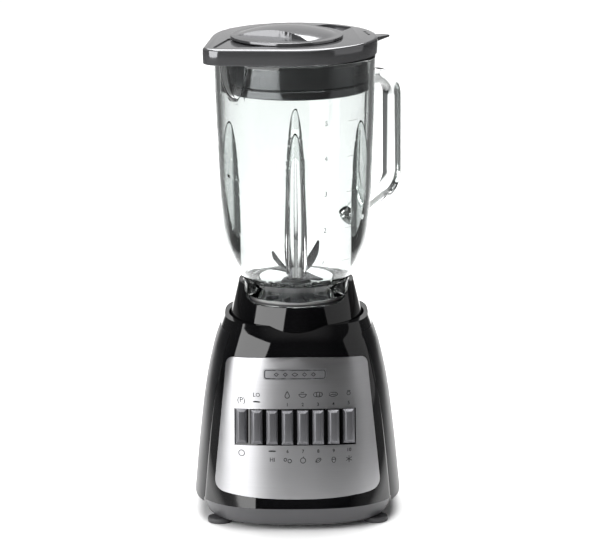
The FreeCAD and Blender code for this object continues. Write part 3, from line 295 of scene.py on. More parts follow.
def rod_solid(name, radius, bottom, top, centre=(0, 0), sides=128):
    clear_selection()
    bpy.ops.mesh.primitive_cylinder_add(vertices=sides, radius=radius, depth=top - bottom,
                                        location=(*centre, (top + bottom) / 2))
    settle()
    bpy.context.object.name = name
    return bpy.context.object


def combine(piece, *others, how="DIFFERENCE"):
    """Joins or cuts a piece by others, which are used up."""
    clear_selection()
    bpy.context.view_layer.objects.active = piece
    piece.select_set(True)
    for other in others:
        modifier = piece.modifiers.new("combine", "BOOLEAN")
        modifier.operation = how
        modifier.solver = "EXACT"
        modifier.object = other
        bpy.ops.object.modifier_apply(modifier=modifier.name)
        bpy.data.objects.remove(other, do_unlink=True)
    return piece


def outline_prism(name, corners, low_y=-0.12, high_y=0.12):
    """A front-view outline of (x, z) corners drawn out along Y: one edge is extruded corner by
    corner, closed with a face and pulled through the casing."""
    clear_selection()
    bpy.ops.mesh.primitive_circle_add(vertices=3, radius=0.001)
    prism = bpy.context.object
    prism.name = name
    bpy.ops.object.mode_set(mode="EDIT")
    bpy.ops.mesh.select_all(action="SELECT")
    bpy.ops.mesh.merge(type="CENTER")
    bpy.ops.transform.translate(value=(corners[0][0], low_y, corners[0][1]))
    for (x0, z0), (x1, z1) in zip(corners, corners[1:]):
        bpy.ops.mesh.extrude_region_move(TRANSFORM_OT_translate={"value": (x1 - x0, 0, z1 - z0)})
    bpy.ops.mesh.select_all(action="SELECT")
    bpy.ops.mesh.edge_face_add()
    bpy.ops.mesh.extrude_region_move(TRANSFORM_OT_translate={"value": (0, high_y - low_y, 0)})
    bpy.ops.mesh.select_all(action="SELECT")
    bpy.ops.mesh.normals_make_consistent(inside=False)
    bpy.ops.object.mode_set(mode="OBJECT")
    return prism


def seam_outline(inset, side, reach=0.12):
    """The front-view outline of all that lies outside the side seam on one side."""
    bottom, top = CASING_LEVELS[0][0] - 0.004, SIDE_PANEL_TOP
    heights = [bottom + (top - bottom) * step / 24 for step in range(25)]
    corners = [(side * (casing_measures(height)[0] - inset), height) for height in heights]
    return corners + [(side * reach, top), (side * reach, bottom)]


def smooth_faces(piece, degrees=30):
    clear_selection()
    piece.select_set(True)
    bpy.context.view_layer.objects.active = piece
    bpy.ops.object.shade_smooth_by_angle(angle=math.radians(degrees))


def finish_piece(piece, material, body, slot, *replaced):
    piece.data.materials.clear()
    piece.data.materials.append(material)
    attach(piece, body)
    if replaced:
        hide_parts(*replaced)
    return piece


# Polished injection-moulded ABS: deep black, mirror clear, with the faint waviness (orange peel)
# of a large thin moulding and a trace of handling haze.
gloss_abs = new_material("abs_polished_black")
place = add_node(gloss_abs, "ShaderNodeTexCoord").outputs["Object"]
peel = add_node(gloss_abs, "ShaderNodeTexNoise", {"Vector": place, "Scale": 160.0, "Detail": 2.0})
haze = add_node(gloss_abs, "ShaderNodeTexNoise", {"Vector": place, "Scale": 38.0, "Detail": 5.0})
haze_range = add_node(gloss_abs, "ShaderNodeMapRange",
                      {"Value": haze.outputs["Fac"], "To Min": 0.03, "To Max": 0.07})
peel_bump = add_node(gloss_abs, "ShaderNodeBump",
                     {"Height": peel.outputs["Fac"], "Strength": 0.02, "Distance": 0.0004})
black_tone = add_node(gloss_abs, "ShaderNodeMix",
                      {"Factor": haze.outputs["Fac"], "A": colour("070708"), "B": colour("0c0c0e")},
                      data_type="RGBA")
finish_material(gloss_abs, add_node(gloss_abs, "ShaderNodeBsdfPrincipled", {
    "Base Color": black_tone.outputs["Result"], "Roughness": haze_range.outputs["Result"],
    "IOR": 1.62, "Normal": peel_bump.outputs["Normal"]}))

housing = casing_solid("housing_shell", 0, COVER_TOP, CASING_LEVELS[-1][0])
combine(housing, casing_solid("cavity", SIDE_PANEL_THICKNESS + CASING_WALL, 0.012, DECK_UNDERSIDE))
for side in (-1, 1):
    slab = outline_prism("panel_slab", seam_outline(SIDE_PANEL_STRIP, side))
    combine(slab, casing_solid("under_panel", SIDE_PANEL_THICKNESS, 0.010, 0.1585))
    combine(housing, slab)
combine(housing, rod_solid("recess", RECESS_RADIUS, RECESS_FLOOR, 0.2, sides=192))
combine(housing, rod_solid("drive_hole", 0.0105, 0.14, 0.2))

# The housing also has the seat of the steel panel, the key openings and a drip rim round the
# drive. The keys and their openings stand square to the front, which leans back by LEAN.
LEAN = math.atan2(CASING_LEVELS[1][2] - CASING_LEVELS[2][2],
                  CASING_LEVELS[2][0] - CASING_LEVELS[1][0])
KEY_COUNT, KEY_PITCH, KEY_WIDTH, KEY_ROW_X = 8, 0.012, 0.009, -0.0016
KEY_BOTTOM, KEY_TOP, KEY_PROUD, KEY_DEPTH = 0.0684, 0.0951, 0.005, 0.009
KEY_CLEARANCE = 0.00045
KEY_MIDDLE = (KEY_BOTTOM + KEY_TOP) / 2
KEY_HALF = (KEY_TOP - KEY_BOTTOM) / 2
KEY_PLACES = [KEY_ROW_X + (index - (KEY_COUNT - 1) / 2) * KEY_PITCH for index in range(KEY_COUNT)]


def face_box(name, x, half_x, half_y, low, high, depth_x=None):
    """A box square to the leaning front face; low and high are measured outwards from it."""
    clear_selection()
    bpy.ops.mesh.primitive_cube_add(size=1, location=(0, 0, (low + high) / 2),
                                    scale=(2 * half_x, 2 * half_y, high - low))
    piece = bpy.context.object
    piece.name = name
    settle()
    piece.rotation_euler = (math.radians(90) - LEAN, 0, 0)
    level = front_depth(x if depth_x is None else depth_x, KEY_MIDDLE)
    piece.location = (x, -level, KEY_MIDDLE)
    settle()
    return piece


def rounded_outline(corners, steps=7):
    """Corner points (x, z, radius) with each radius drawn as a short curve."""
    outline = []
    count = len(corners)
    for index, (x, z, radius) in enumerate(corners):
        corner = Vector((x, z))
        if not radius:
            outline.append(tuple(corner))
            continue
        before = Vector(corners[index - 1][:2]) - corner
        after = Vector(corners[(index + 1) % count][:2]) - corner
        start = corner + before.normalized() * radius
        end = corner + after.normalized() * radius
        for step in range(steps + 1):
            share = step / steps
            outline.append(tuple(start * (1 - share) ** 2 + corner * 2 * share * (1 - share)
                                 + end * share ** 2))
    return outline


def plate_outline(half_bottom, half_top, bottom, top, bottom_bow, top_bow, bottom_radius,
                  top_radius, x=0.0, grow=0.0, steps=10):
    """A plate's front-view outline with bowed ends and rounded corners."""
    half_bottom, half_top, bottom, top = (half_bottom + grow, half_top + grow, bottom - grow,
                                          top + grow)
    shares = [step / steps * 2 - 1 for step in range(steps + 1)]
    low = [(x + share * half_bottom, bottom + bottom_bow * share ** 2,
            bottom_radius if abs(share) == 1 else 0) for share in shares]
    high = [(x - share * half_top, top - top_bow * share ** 2,
             top_radius if abs(share) == 1 else 0) for share in shares]
    return rounded_outline(low + high)


PANEL = (0.0655, 0.055, 0.0257, 0.1358, 0.004, 0.0026, 0.009, 0.0065)
PANEL_THICKNESS, PANEL_PROUD, PANEL_CLEARANCE = 0.0008, 0.00035, 0.00015


def skin(name, outside, inside, outline, bottom=0.017, top=0.15):
    """A curved plate: the layer between two depths of the casing, within an outline."""
    plate = casing_solid(name, -outside, bottom, top)
    combine(plate, casing_solid("back", -inside, bottom - 0.001, top + 0.001))
    return combine(plate, outline_prism("outline", outline, -0.12, 0.0), how="INTERSECT")


seat = skin("panel_seat", 0.002, PANEL_PROUD - PANEL_THICKNESS,
            plate_outline(*PANEL, grow=PANEL_CLEARANCE))
combine(housing, seat)
for x in KEY_PLACES:
    combine(housing, face_box("key_hole", x, KEY_WIDTH / 2 + KEY_CLEARANCE,
                              KEY_HALF + KEY_CLEARANCE, -0.018, 0.012))
drip_rim = rod_solid("drip_rim", 0.0155, RECESS_FLOOR - 0.0005, RECESS_FLOOR + 0.0035)
combine(drip_rim, rod_solid("drip_bore", 0.013, 0.14, 0.2))
combine(housing, drip_rim, how="UNION")
inlet_low, inlet_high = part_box("cord_inlet_bush")
inlet_cutter = rod_solid("inlet_hole", 0.0062, -0.02, 0.02)
inlet_cutter.rotation_euler = (math.radians(90), 0, 0)
inlet_cutter.location = (inlet_low + inlet_high) / 2
settle()
combine(housing, inlet_cutter)
housing.name = "gloss_housing"
smooth_faces(housing, 35)
finish_piece(housing, gloss_abs, "base", "gloss_black", "base_housing")


# ---- Side panels --------------------------------------------------------------------------------
# Two satin ABS shells snap over the flanks of the housing. Their lower lips stand out past the
# bottom cover, and a fine dark seam shows where they meet the gloss front.

# Black ABS from a spark-eroded tool: a fine grain breaks up its shine.
satin_abs = new_material("abs_satin_charcoal")
place = add_node(satin_abs, "ShaderNodeTexCoord").outputs["Object"]
spark_grain = add_node(satin_abs, "ShaderNodeTexNoise",
                       {"Vector": place, "Scale": 1400.0, "Detail": 3.0})
satin_haze = add_node(satin_abs, "ShaderNodeTexNoise",
                      {"Vector": place, "Scale": 30.0, "Detail": 4.0})
satin_tone = add_node(satin_abs, "ShaderNodeMix",
                      {"Factor": satin_haze.outputs["Fac"], "A": colour("0c0c0e"),
                       "B": colour("121214")}, data_type="RGBA")
satin_rough = add_node(satin_abs, "ShaderNodeMapRange",
                       {"Value": satin_haze.outputs["Fac"], "To Min": 0.27, "To Max": 0.36})
grain_bump = add_node(satin_abs, "ShaderNodeBump",
                      {"Height": spark_grain.outputs["Fac"], "Strength": 0.12, "Distance": 0.0001})
finish_material(satin_abs, add_node(satin_abs, "ShaderNodeBsdfPrincipled", {
    "Base Color": satin_tone.outputs["Result"], "Roughness": satin_rough.outputs["Result"],
    "IOR": 1.3, "Normal": grain_bump.outputs["Normal"]}))

for label, side in (("left_side_panel", -1), ("right_side_panel", 1)):
    panel = casing_solid(label + "_shell", 0, 0.0161, SIDE_PANEL_TOP)
    combine(panel, casing_solid("inside", SIDE_PANEL_THICKNESS, 0.010, 0.158))
    outline = seam_outline(SIDE_PANEL_STRIP - SEAM_GAP, side)
    combine(panel, outline_prism("flank", outline), how="INTERSECT")
    smooth_faces(panel, 35)
    finish_piece(panel, satin_abs, "base", "satin_dark", label)


# ---- Bottom cover, feet and screws --------------------------------------------------------------
# The base is closed by a shallow grey tray, screwed up from below, with vents under the fan and
# four soft feet at its corners.

# Dark grey ABS with the same fine tool grain.
satin_grey = new_material("abs_satin_grey")
place = add_node(satin_grey, "ShaderNodeTexCoord").outputs["Object"]
grey_grain = add_node(satin_grey, "ShaderNodeTexNoise",
                      {"Vector": place, "Scale": 1400.0, "Detail": 3.0})
grey_haze = add_node(satin_grey, "ShaderNodeTexNoise",
                     {"Vector": place, "Scale": 30.0, "Detail": 4.0})
grey_tone = add_node(satin_grey, "ShaderNodeMix",
                     {"Factor": grey_haze.outputs["Fac"], "A": colour("4a4a4c"),
                      "B": colour("525254")}, data_type="RGBA")
grey_bump = add_node(satin_grey, "ShaderNodeBump",
                     {"Height": grey_grain.outputs["Fac"], "Strength": 0.12, "Distance": 0.0001})
finish_material(satin_grey, add_node(satin_grey, "ShaderNodeBsdfPrincipled", {
    "Base Color": grey_tone.outputs["Result"], "Roughness": 0.34,
    "IOR": 1.54, "Normal": grey_bump.outputs["Normal"]}))

COVER_LEVELS = ((0.004, 0.0725, 0.077, 0.0735), (0.018, 0.0765, 0.080, 0.076))


def cover_measures(height):
    low, high = COVER_LEVELS
    share = (height - low[0]) / (high[0] - low[0])
    return [first + share * (last - first) for first, last in zip(low[1:], high[1:])]


cover = casing_solid("cover_tray", 0, 0.004, 0.0179, measures=cover_measures, rows=10)
bpy.ops.object.mode_set(mode="EDIT")
bpy.ops.mesh.select_all(action="DESELECT")
bpy.ops.object.mode_set(mode="OBJECT")
for edge in cover.data.edges:
    edge.select = all(cover.data.vertices[end].co.z < 0.0041 for end in edge.vertices)
bpy.ops.object.mode_set(mode="EDIT")
bpy.ops.mesh.bevel(offset=0.0018, segments=4, affect="EDGES")
bpy.ops.object.mode_set(mode="OBJECT")
combine(cover, casing_solid("tray_room", 0.0026, 0.007, 0.019, measures=cover_measures, rows=10))
for index in range(12):
    turn = math.radians(30 * (index + 0.5))
    vent = box_solid("vent", (0.012, -0.0017, 0.0), (0.030, 0.0017, 0.02))
    vent.rotation_euler = (0, 0, turn)
    bpy.ops.object.transform_apply(rotation=True)
    combine(cover, vent)
for x_side in (-1, 1):
    for y_side in (-1, 1):
        centre = (x_side * 0.046, y_side * 0.056)
        combine(cover, rod_solid("tower", 0.0056, 0.0065, 0.0179, centre, 40), how="UNION")
        combine(cover, rod_solid("head_room", 0.0039, 0.0, 0.0094, centre, 40))
        combine(cover, rod_solid("screw_hole", 0.0022, 0.0, 0.03, centre, 32))
smooth_faces(cover, 35)
finish_piece(cover, satin_grey, "base", "satin_grey", "bottom_cover")

# Moulded rubber: dull, soft-edged and a little dusty.
foot_rubber = new_material("moulded_grey_rubber")
place = add_node(foot_rubber, "ShaderNodeTexCoord").outputs["Object"]
dust = add_node(foot_rubber, "ShaderNodeTexNoise", {"Vector": place, "Scale": 260.0, "Detail": 6.0})
rubber_tone = add_node(foot_rubber, "ShaderNodeMix",
                       {"Factor": dust.outputs["Fac"], "A": colour("3c3c3e"),
                        "B": colour("484849")}, data_type="RGBA")
rubber_bump = add_node(foot_rubber, "ShaderNodeBump",
                       {"Height": dust.outputs["Fac"], "Strength": 0.2, "Distance": 0.0002})
finish_material(foot_rubber, add_node(foot_rubber, "ShaderNodeBsdfPrincipled", {
    "Base Color": rubber_tone.outputs["Result"], "Roughness": 0.55, "IOR": 1.52,
    "Normal": rubber_bump.outputs["Normal"]}))

feet = []
for x_side in (-1, 1):
    for y_side in (-1, 1):
        foot = rod_solid("foot", 0.0095, 0.0, 0.004, (x_side * 0.0615, y_side * 0.0505), 64)
        bevel = foot.modifiers.new("edge", "BEVEL")
        bevel.width, bevel.segments, bevel.limit_method = 0.0008, 3, "ANGLE"
        bpy.ops.object.modifier_apply(modifier=bevel.name)
        feet.append(foot)
clear_selection()
for foot in feet:
    foot.select_set(True)
bpy.context.view_layer.objects.active = feet[0]
bpy.ops.object.join()
feet = bpy.context.object
feet.name = "soft_feet"
smooth_faces(feet, 35)
finish_piece(feet, foot_rubber, "base", "foot_rubber", "rubber_feet")


# ---- Steel control panel and badge --------------------------------------------------------------
# A curved plate of brushed stainless steel lies in a shallow seat on the front. The brushing
# runs across it; a plain framed badge plate is fixed above the keys.

brushed_steel = new_material("stainless_brushed_across")
place = add_node(brushed_steel, "ShaderNodeTexCoord").outputs["Object"]
# Brush lines are about 0.05 mm wide on the real plate; they are drawn at 0.25 mm to show.
stretched = add_node(brushed_steel, "ShaderNodeMapping",
                     {"Vector": place, "Scale": (14.0, 14.0, 3800.0)})
lines = add_node(brushed_steel, "ShaderNodeTexNoise",
                 {"Vector": stretched.outputs["Vector"], "Scale": 1.0, "Detail": 4.0})
line_rough = add_node(brushed_steel, "ShaderNodeMapRange",
                      {"Value": lines.outputs["Fac"], "To Min": 0.26, "To Max": 0.42})
line_tone = add_node(brushed_steel, "ShaderNodeMix",
                     {"Factor": lines.outputs["Fac"], "A": colour("b2b2b4"), "B": colour("c2c2c4")},
                     data_type="RGBA")
line_bump = add_node(brushed_steel, "ShaderNodeBump",
                     {"Height": lines.outputs["Fac"], "Strength": 0.08, "Distance": 0.0001})
finish_material(brushed_steel, add_node(brushed_steel, "ShaderNodeBsdfPrincipled", {
    "Base Color": line_tone.outputs["Result"], "Metallic": 1.0,
    "Roughness": line_rough.outputs["Result"], "Anisotropic": 0.5,
    "Normal": line_bump.outputs["Normal"]}))

panel = skin("steel_panel", PANEL_PROUD, PANEL_PROUD - PANEL_THICKNESS, plate_outline(*PANEL))
window_half = (KEY_COUNT - 1) / 2 * KEY_PITCH + KEY_WIDTH / 2 + KEY_CLEARANCE + 0.0005
combine(panel, face_box("window", KEY_ROW_X, window_half, KEY_HALF + KEY_CLEARANCE + 0.0005,
                        -0.012, 0.012, depth_x=0.0))
smooth_faces(panel, 30)
finish_piece(panel, brushed_steel, "base", "brushed_steel_panel", "control_panel")

BADGE = (0.025, 0.025, 0.1185, 0.1271, 0.0, 0.0, 0.0026, 0.0026)
BADGE_X, BADGE_PROUD, BADGE_FRAME = -0.0015, 0.0009, 0.0007
badge = skin("badge_frame", BADGE_PROUD, PANEL_PROUD + 0.00002, plate_outline(*BADGE, x=BADGE_X),
             0.1, 0.14)
sunk = skin("sunk_field", 0.002, BADGE_PROUD - 0.0003,
            plate_outline(*BADGE, x=BADGE_X, grow=-BADGE_FRAME), 0.1, 0.14)
combine(badge, sunk)
# Satin anodised aluminium, finely matt.
badge_metal = new_material("aluminium_badge_satin")
place = add_node(badge_metal, "ShaderNodeTexCoord").outputs["Object"]
anodising = add_node(badge_metal, "ShaderNodeTexNoise",
                     {"Vector": place, "Scale": 900.0, "Detail": 3.0})
badge_tone = add_node(badge_metal, "ShaderNodeMix",
                      {"Factor": anodising.outputs["Fac"], "A": colour("a0a0a3"),
                       "B": colour("b2b2b5")}, data_type="RGBA")
finish_material(badge_metal, add_node(badge_metal, "ShaderNodeBsdfPrincipled", {
    "Base Color": badge_tone.outputs["Result"], "Metallic": 0.9, "Roughness": 0.34}))
smooth_faces(badge, 30)
finish_piece(badge, badge_metal, "base", "badge_metal", "badge_plate")


# ---- Keys ---------------------------------------------------------------------------------------
# Eight piano keys in silver-grey metallic paint, brushed up and down, with sloped ends. Each one
# slides straight in, square to the leaning front.

# Silver-grey metallic paint with a fine upright grain.
key_paint = new_material("abs_metallic_paint_brushed_upright")
place = add_node(key_paint, "ShaderNodeTexCoord").outputs["Object"]
upright = add_node(key_paint, "ShaderNodeMapping", {"Vector": place, "Scale": (3000.0, 60.0, 60.0)})
strokes = add_node(key_paint, "ShaderNodeTexNoise",
                   {"Vector": upright.outputs["Vector"], "Scale": 1.0, "Detail": 3.0})
stroke_tone = add_node(key_paint, "ShaderNodeMix",
                       {"Factor": strokes.outputs["Fac"], "A": colour("68686b"),
                        "B": colour("7c7c7f")}, data_type="RGBA")
stroke_bump = add_node(key_paint, "ShaderNodeBump",
                       {"Height": strokes.outputs["Fac"], "Strength": 0.1, "Distance": 0.0001})
finish_material(key_paint, add_node(key_paint, "ShaderNodeBsdfPrincipled", {
    "Base Color": stroke_tone.outputs["Result"], "Metallic": 0.75, "Roughness": 0.36,
    "Normal": stroke_bump.outputs["Normal"]}))

KEY_NODES = [name for name in nodes if name.startswith("button_")]
KEY_NODES.sort(key=lambda name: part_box(name)[0].x)
KEY_END_SLOPE, KEY_EDGE, STEM_END = 0.0022, 0.00045, 0.023


def key_cap(name, x):
    clear_selection()
    bpy.ops.mesh.primitive_cube_add(size=1, location=(0, 0, (KEY_PROUD - KEY_DEPTH) / 2),
                                    scale=(KEY_WIDTH, 2 * KEY_HALF, KEY_PROUD + KEY_DEPTH))
    key = bpy.context.object
    key.name = name
    settle()
    for edge in key.data.edges:
        ends = [key.data.vertices[end].co for end in edge.vertices]
        edge.select = all(end.z > 0 for end in ends) and ends[0].y == ends[1].y
    for vertex in key.data.vertices:
        vertex.select = False
    for face in key.data.polygons:
        face.select = False
    bpy.ops.object.mode_set(mode="EDIT")
    bpy.ops.mesh.bevel(offset=KEY_END_SLOPE, segments=1, affect="EDGES")
    bpy.ops.mesh.select_all(action="SELECT")
    bpy.ops.mesh.bevel(offset=KEY_EDGE, segments=3, affect="EDGES")
    bpy.ops.object.mode_set(mode="OBJECT")
    key.rotation_euler = (math.radians(90) - LEAN, 0, 0)
    key.location = (x, -front_depth(x, KEY_MIDDLE), KEY_MIDDLE)
    settle()
    smooth_faces(key, 30)
    return key


for label, x in zip(KEY_NODES, KEY_PLACES):
    set_back = front_depth(0, KEY_MIDDLE) - front_depth(x, KEY_MIDDLE)
    stem_bottom, stem_top = -KEY_DEPTH + 0.0005, set_back - STEM_END
    key = key_cap(label + "_key", x)
    stem = face_box("stem", x, 0.002, 0.0035, stem_top, stem_bottom)
    combine(key, stem, how="UNION")
    finish_piece(key, key_paint, label, "key_plastic", label)


# ---- Jar collar ---------------------------------------------------------------------------------
# A gloss black ABS ring screws on to the neck of the jar and drops into the recess of the base.
# Its rim dips at the front and the back, and the rim's edge is rounded over all round.

COLLAR_PROFILE = ((0.0496, 0.1534), (0.0526, 0.1534), (0.0529, 0.1538), (0.0452, 0.1850),
                  (0.0419, 0.1850), (0.0419, 0.1690), (0.0330, 0.1690), (0.0330, 0.1660),
                  (0.0444, 0.1660), (0.0496, 0.1534))
DIP_HALF, DIP_HEIGHT, DIP_CORNER = 0.041, 0.172, 0.013


def turned_piece(name, profile, steps=128):
    """A profile of (radius, height) points, extruded point by point and spun round the axis."""
    clear_selection()
    bpy.ops.mesh.primitive_circle_add(vertices=3, radius=0.001)
    piece = bpy.context.object
    piece.name = name
    bpy.ops.object.mode_set(mode="EDIT")
    bpy.ops.mesh.select_all(action="SELECT")
    bpy.ops.mesh.merge(type="CENTER")
    bpy.ops.transform.translate(value=(profile[0][0], 0, profile[0][1]))
    for (r0, z0), (r1, z1) in zip(profile, profile[1:]):
        bpy.ops.mesh.extrude_region_move(TRANSFORM_OT_translate={"value": (r1 - r0, 0, z1 - z0)})
    bpy.ops.mesh.select_all(action="SELECT")
    bpy.ops.mesh.spin(steps=steps, angle=2 * math.pi, center=(0, 0, 0), axis=(0, 0, 1),
                      use_auto_merge=True)
    bpy.ops.mesh.select_all(action="SELECT")
    bpy.ops.mesh.remove_doubles(threshold=1e-6)
    bpy.ops.mesh.normals_make_consistent(inside=False)
    bpy.ops.object.mode_set(mode="OBJECT")
    return piece


def round_edges(piece, width, segments=3, degrees=40):
    clear_selection()
    bpy.context.view_layer.objects.active = piece
    piece.select_set(True)
    bevel = piece.modifiers.new("edge", "BEVEL")
    bevel.width, bevel.segments, bevel.limit_method = width, segments, "ANGLE"
    bevel.angle_limit = math.radians(degrees)
    bpy.ops.object.modifier_apply(modifier=bevel.name)
    return piece


collar = turned_piece("collar_ring", COLLAR_PROFILE, 160)
dip_corners = rounded_outline([(-DIP_HALF, DIP_HEIGHT, DIP_CORNER),
                               (DIP_HALF, DIP_HEIGHT, DIP_CORNER),
                               (DIP_HALF, 0.22, 0), (-DIP_HALF, 0.22, 0)], steps=12)
combine(collar, outline_prism("dip", dip_corners))
round_edges(collar, 0.0009, 3, 50)
for turn in range(0, 360, 15):
    catch = box_solid("catch", (0.0406, -0.0016, 0.1690), (0.0424, 0.0016, 0.1712))
    catch.rotation_euler = (0, 0, math.radians(turn + 7.5))
    bpy.ops.object.transform_apply(rotation=True)
    combine(collar, catch, how="UNION")
collar.name = "screw_collar"
smooth_faces(collar, 32)
finish_piece(collar, gloss_abs, "jar_base", "collar_black", "jar_collar")


# ---- Blade unit ---------------------------------------------------------------------------------
# Four stainless cutters, two bent up and two down, are stacked on a shaft and held by a washer and
# a hexagon nut. The shaft turns in a moulded housing that closes the bottom of the jar.

ground_steel = new_material("stainless_ground_blade")
place = add_node(ground_steel, "ShaderNodeTexCoord").outputs["Object"]
# Grinding marks are near 0.03 mm on the real blades; they are drawn at 0.2 mm to show.
grinding = add_node(ground_steel, "ShaderNodeMapping",
                    {"Vector": place, "Scale": (260.0, 4200.0, 260.0)})
marks = add_node(ground_steel, "ShaderNodeTexNoise",
                 {"Vector": grinding.outputs["Vector"], "Scale": 1.0, "Detail": 4.0})
mark_tone = add_node(ground_steel, "ShaderNodeMix",
                     {"Factor": marks.outputs["Fac"], "A": colour("4c4c50"), "B": colour("68686c")},
                     data_type="RGBA")
mark_rough = add_node(ground_steel, "ShaderNodeMapRange",
                      {"Value": marks.outputs["Fac"], "To Min": 0.16, "To Max": 0.34})
finish_material(ground_steel, add_node(ground_steel, "ShaderNodeBsdfPrincipled", {
    "Base Color": mark_tone.outputs["Result"], "Metallic": 1.0,
    "Roughness": mark_rough.outputs["Result"]}))

BLADE_ROOT, BLADE_THICKNESS, BLADE_HALF_WIDTH = 0.190, 0.0012, 0.006
BLADE_HUB, SHAFT_RADIUS, BLADE_TURN = 0.008, 0.004, 35
ARM_START, GROUND_EDGE = 0.2, -0.62 * BLADE_HALF_WIDTH


def blade_arm(name, reach, rise, bottom, tip, azimuth):
    """One cutter: a flat strip drawn out to a swept point, its leading edge ground thin."""
    clear_selection()
    bpy.ops.mesh.primitive_grid_add(x_subdivisions=20, y_subdivisions=6, size=1)
    arm = bpy.context.object
    arm.name = name
    for vertex in arm.data.vertices:
        along, across = vertex.co.x + 0.5, 2 * vertex.co.y
        narrowing = 1 - along ** 3
        width = BLADE_HALF_WIDTH * (narrowing + (1 - narrowing) * tip)
        sweep = BLADE_HALF_WIDTH * 0.8 * along ** 3
        bent = along ** 1.5
        vertex.co = (reach * (ARM_START + (1 - ARM_START) * along), across * width + sweep,
                     rise * bent)
    bpy.ops.object.mode_set(mode="EDIT")
    bpy.ops.mesh.select_all(action="SELECT")
    bpy.ops.mesh.normals_make_consistent(inside=False)
    bpy.ops.object.mode_set(mode="OBJECT")
    wall = arm.modifiers.new("thickness", "SOLIDIFY")
    wall.thickness, wall.offset = 0.9 * BLADE_THICKNESS, 0
    bpy.ops.object.modifier_apply(modifier=wall.name)
    for vertex in arm.data.vertices:
        if vertex.co.y < GROUND_EDGE:
            along = max(vertex.co.x / reach - ARM_START, 0) / (1 - ARM_START)
            vertex.co.z = rise * along ** 1.5
    bpy.ops.object.mode_set(mode="EDIT")
    bpy.ops.mesh.select_all(action="SELECT")
    bpy.ops.mesh.normals_make_consistent(inside=False)
    bpy.ops.object.mode_set(mode="OBJECT")
    arm.rotation_euler = (0, 0, math.radians(azimuth))
    arm.location = (0, 0, bottom + BLADE_THICKNESS / 2)
    settle()
    return arm


def joined(name, marks):
    """Makes one object of several closed bodies."""
    clear_selection()
    for mark in marks:
        mark.select_set(True)
    bpy.context.view_layer.objects.active = marks[0]
    bpy.ops.object.join()
    bpy.context.object.name = name
    return bpy.context.object


for label, reach, rise, level, tip, azimuth in (
        ("lower_blade", 0.0265, -0.0015, BLADE_ROOT, 0.35, BLADE_TURN + 90),
        ("upper_blade", 0.0255, 0.0195, BLADE_ROOT + BLADE_THICKNESS, 0.12, BLADE_TURN)):
    cutter = rod_solid(label + "_cutter", BLADE_HUB, level, level + BLADE_THICKNESS, sides=64)
    combine(cutter, rod_solid("bore", SHAFT_RADIUS, 0.18, 0.21, sides=48))
    arms = [blade_arm("arm", reach, rise, level, tip, azimuth + half_turn)
            for half_turn in (0, 180)]
    cutter = joined(label + "_cutter", [cutter, *arms])
    smooth_faces(cutter, 28)
    finish_piece(cutter, ground_steel, "blades", "blade_steel", label)

fastening = turned_piece("cap_washer", ((0.004, 0.1924), (0.0055, 0.1924), (0.0058, 0.1927),
                                        (0.0058, 0.1933), (0.0055, 0.1936), (0.004, 0.1936),
                                        (0.004, 0.1924)), 64)
smooth_faces(fastening, 40)
finish_piece(fastening, ground_steel, "blades", "blade_steel", "blade_washer")
cap_nut = rod_solid("hexagon_nut", 0.00635, 0.1936, 0.1986, sides=6)
round_edges(cap_nut, 0.0005, 2, 30)
combine(cap_nut, rod_solid("thread", SHAFT_RADIUS, 0.19, 0.2, sides=48))
smooth_faces(cap_nut, 25)
finish_piece(cap_nut, ground_steel, "blades", "blade_steel", "blade_nut")
shaft = turned_piece("cutter_shaft", ((0.0, 0.1638), (0.0037, 0.1638), (0.004, 0.1641),
                                      (0.004, 0.1990), (0.0035, 0.1995), (0.0, 0.1995)), 64)
smooth_faces(shaft, 35)
finish_piece(shaft, ground_steel, "blades", "blade_steel", "blade_shaft")

# Glass-filled nylon with a moulded, slightly glossy skin.
housing_nylon = new_material("nylon_glass_filled_grey")
place = add_node(housing_nylon, "ShaderNodeTexCoord").outputs["Object"]
fibres = add_node(housing_nylon, "ShaderNodeTexNoise",
                  {"Vector": place, "Scale": 700.0, "Detail": 5.0})
nylon_tone = add_node(housing_nylon, "ShaderNodeMix",
                      {"Factor": fibres.outputs["Fac"], "A": colour("6d6d70"),
                       "B": colour("868689")}, data_type="RGBA")
nylon_bump = add_node(housing_nylon, "ShaderNodeBump",
                      {"Height": fibres.outputs["Fac"], "Strength": 0.15, "Distance": 0.0001})
finish_material(housing_nylon, add_node(housing_nylon, "ShaderNodeBsdfPrincipled", {
    "Base Color": nylon_tone.outputs["Result"], "Roughness": 0.38, "IOR": 1.53,
    "Normal": nylon_bump.outputs["Normal"]}))

carrier = turned_piece("blade_carrier", (
    (0.0075, 0.1660), (0.0125, 0.1660), (0.0125, 0.1690), (0.0385, 0.1690), (0.0385, 0.1720),
    (0.0300, 0.1720), (0.0290, 0.1726), (0.0270, 0.1741), (0.0200, 0.1745), (0.0155, 0.1752),
    (0.0134, 0.1775), (0.0125, 0.1815), (0.0117, 0.1840), (0.0103, 0.1858), (0.0090, 0.1860),
    (0.0075, 0.1860), (0.0075, 0.1660)), 128)
for turn in range(0, 360, 45):
    web = box_solid("web", (0.0120, -0.0009, 0.1735), (0.0240, 0.0009, 0.1765))
    web.rotation_euler = (0, 0, math.radians(turn + 22.5))
    bpy.ops.object.transform_apply(rotation=True)
    combine(carrier, web, how="UNION")
smooth_faces(carrier, 35)
finish_piece(carrier, housing_nylon, "jar_base", "blade_housing_plastic", "blade_housing")

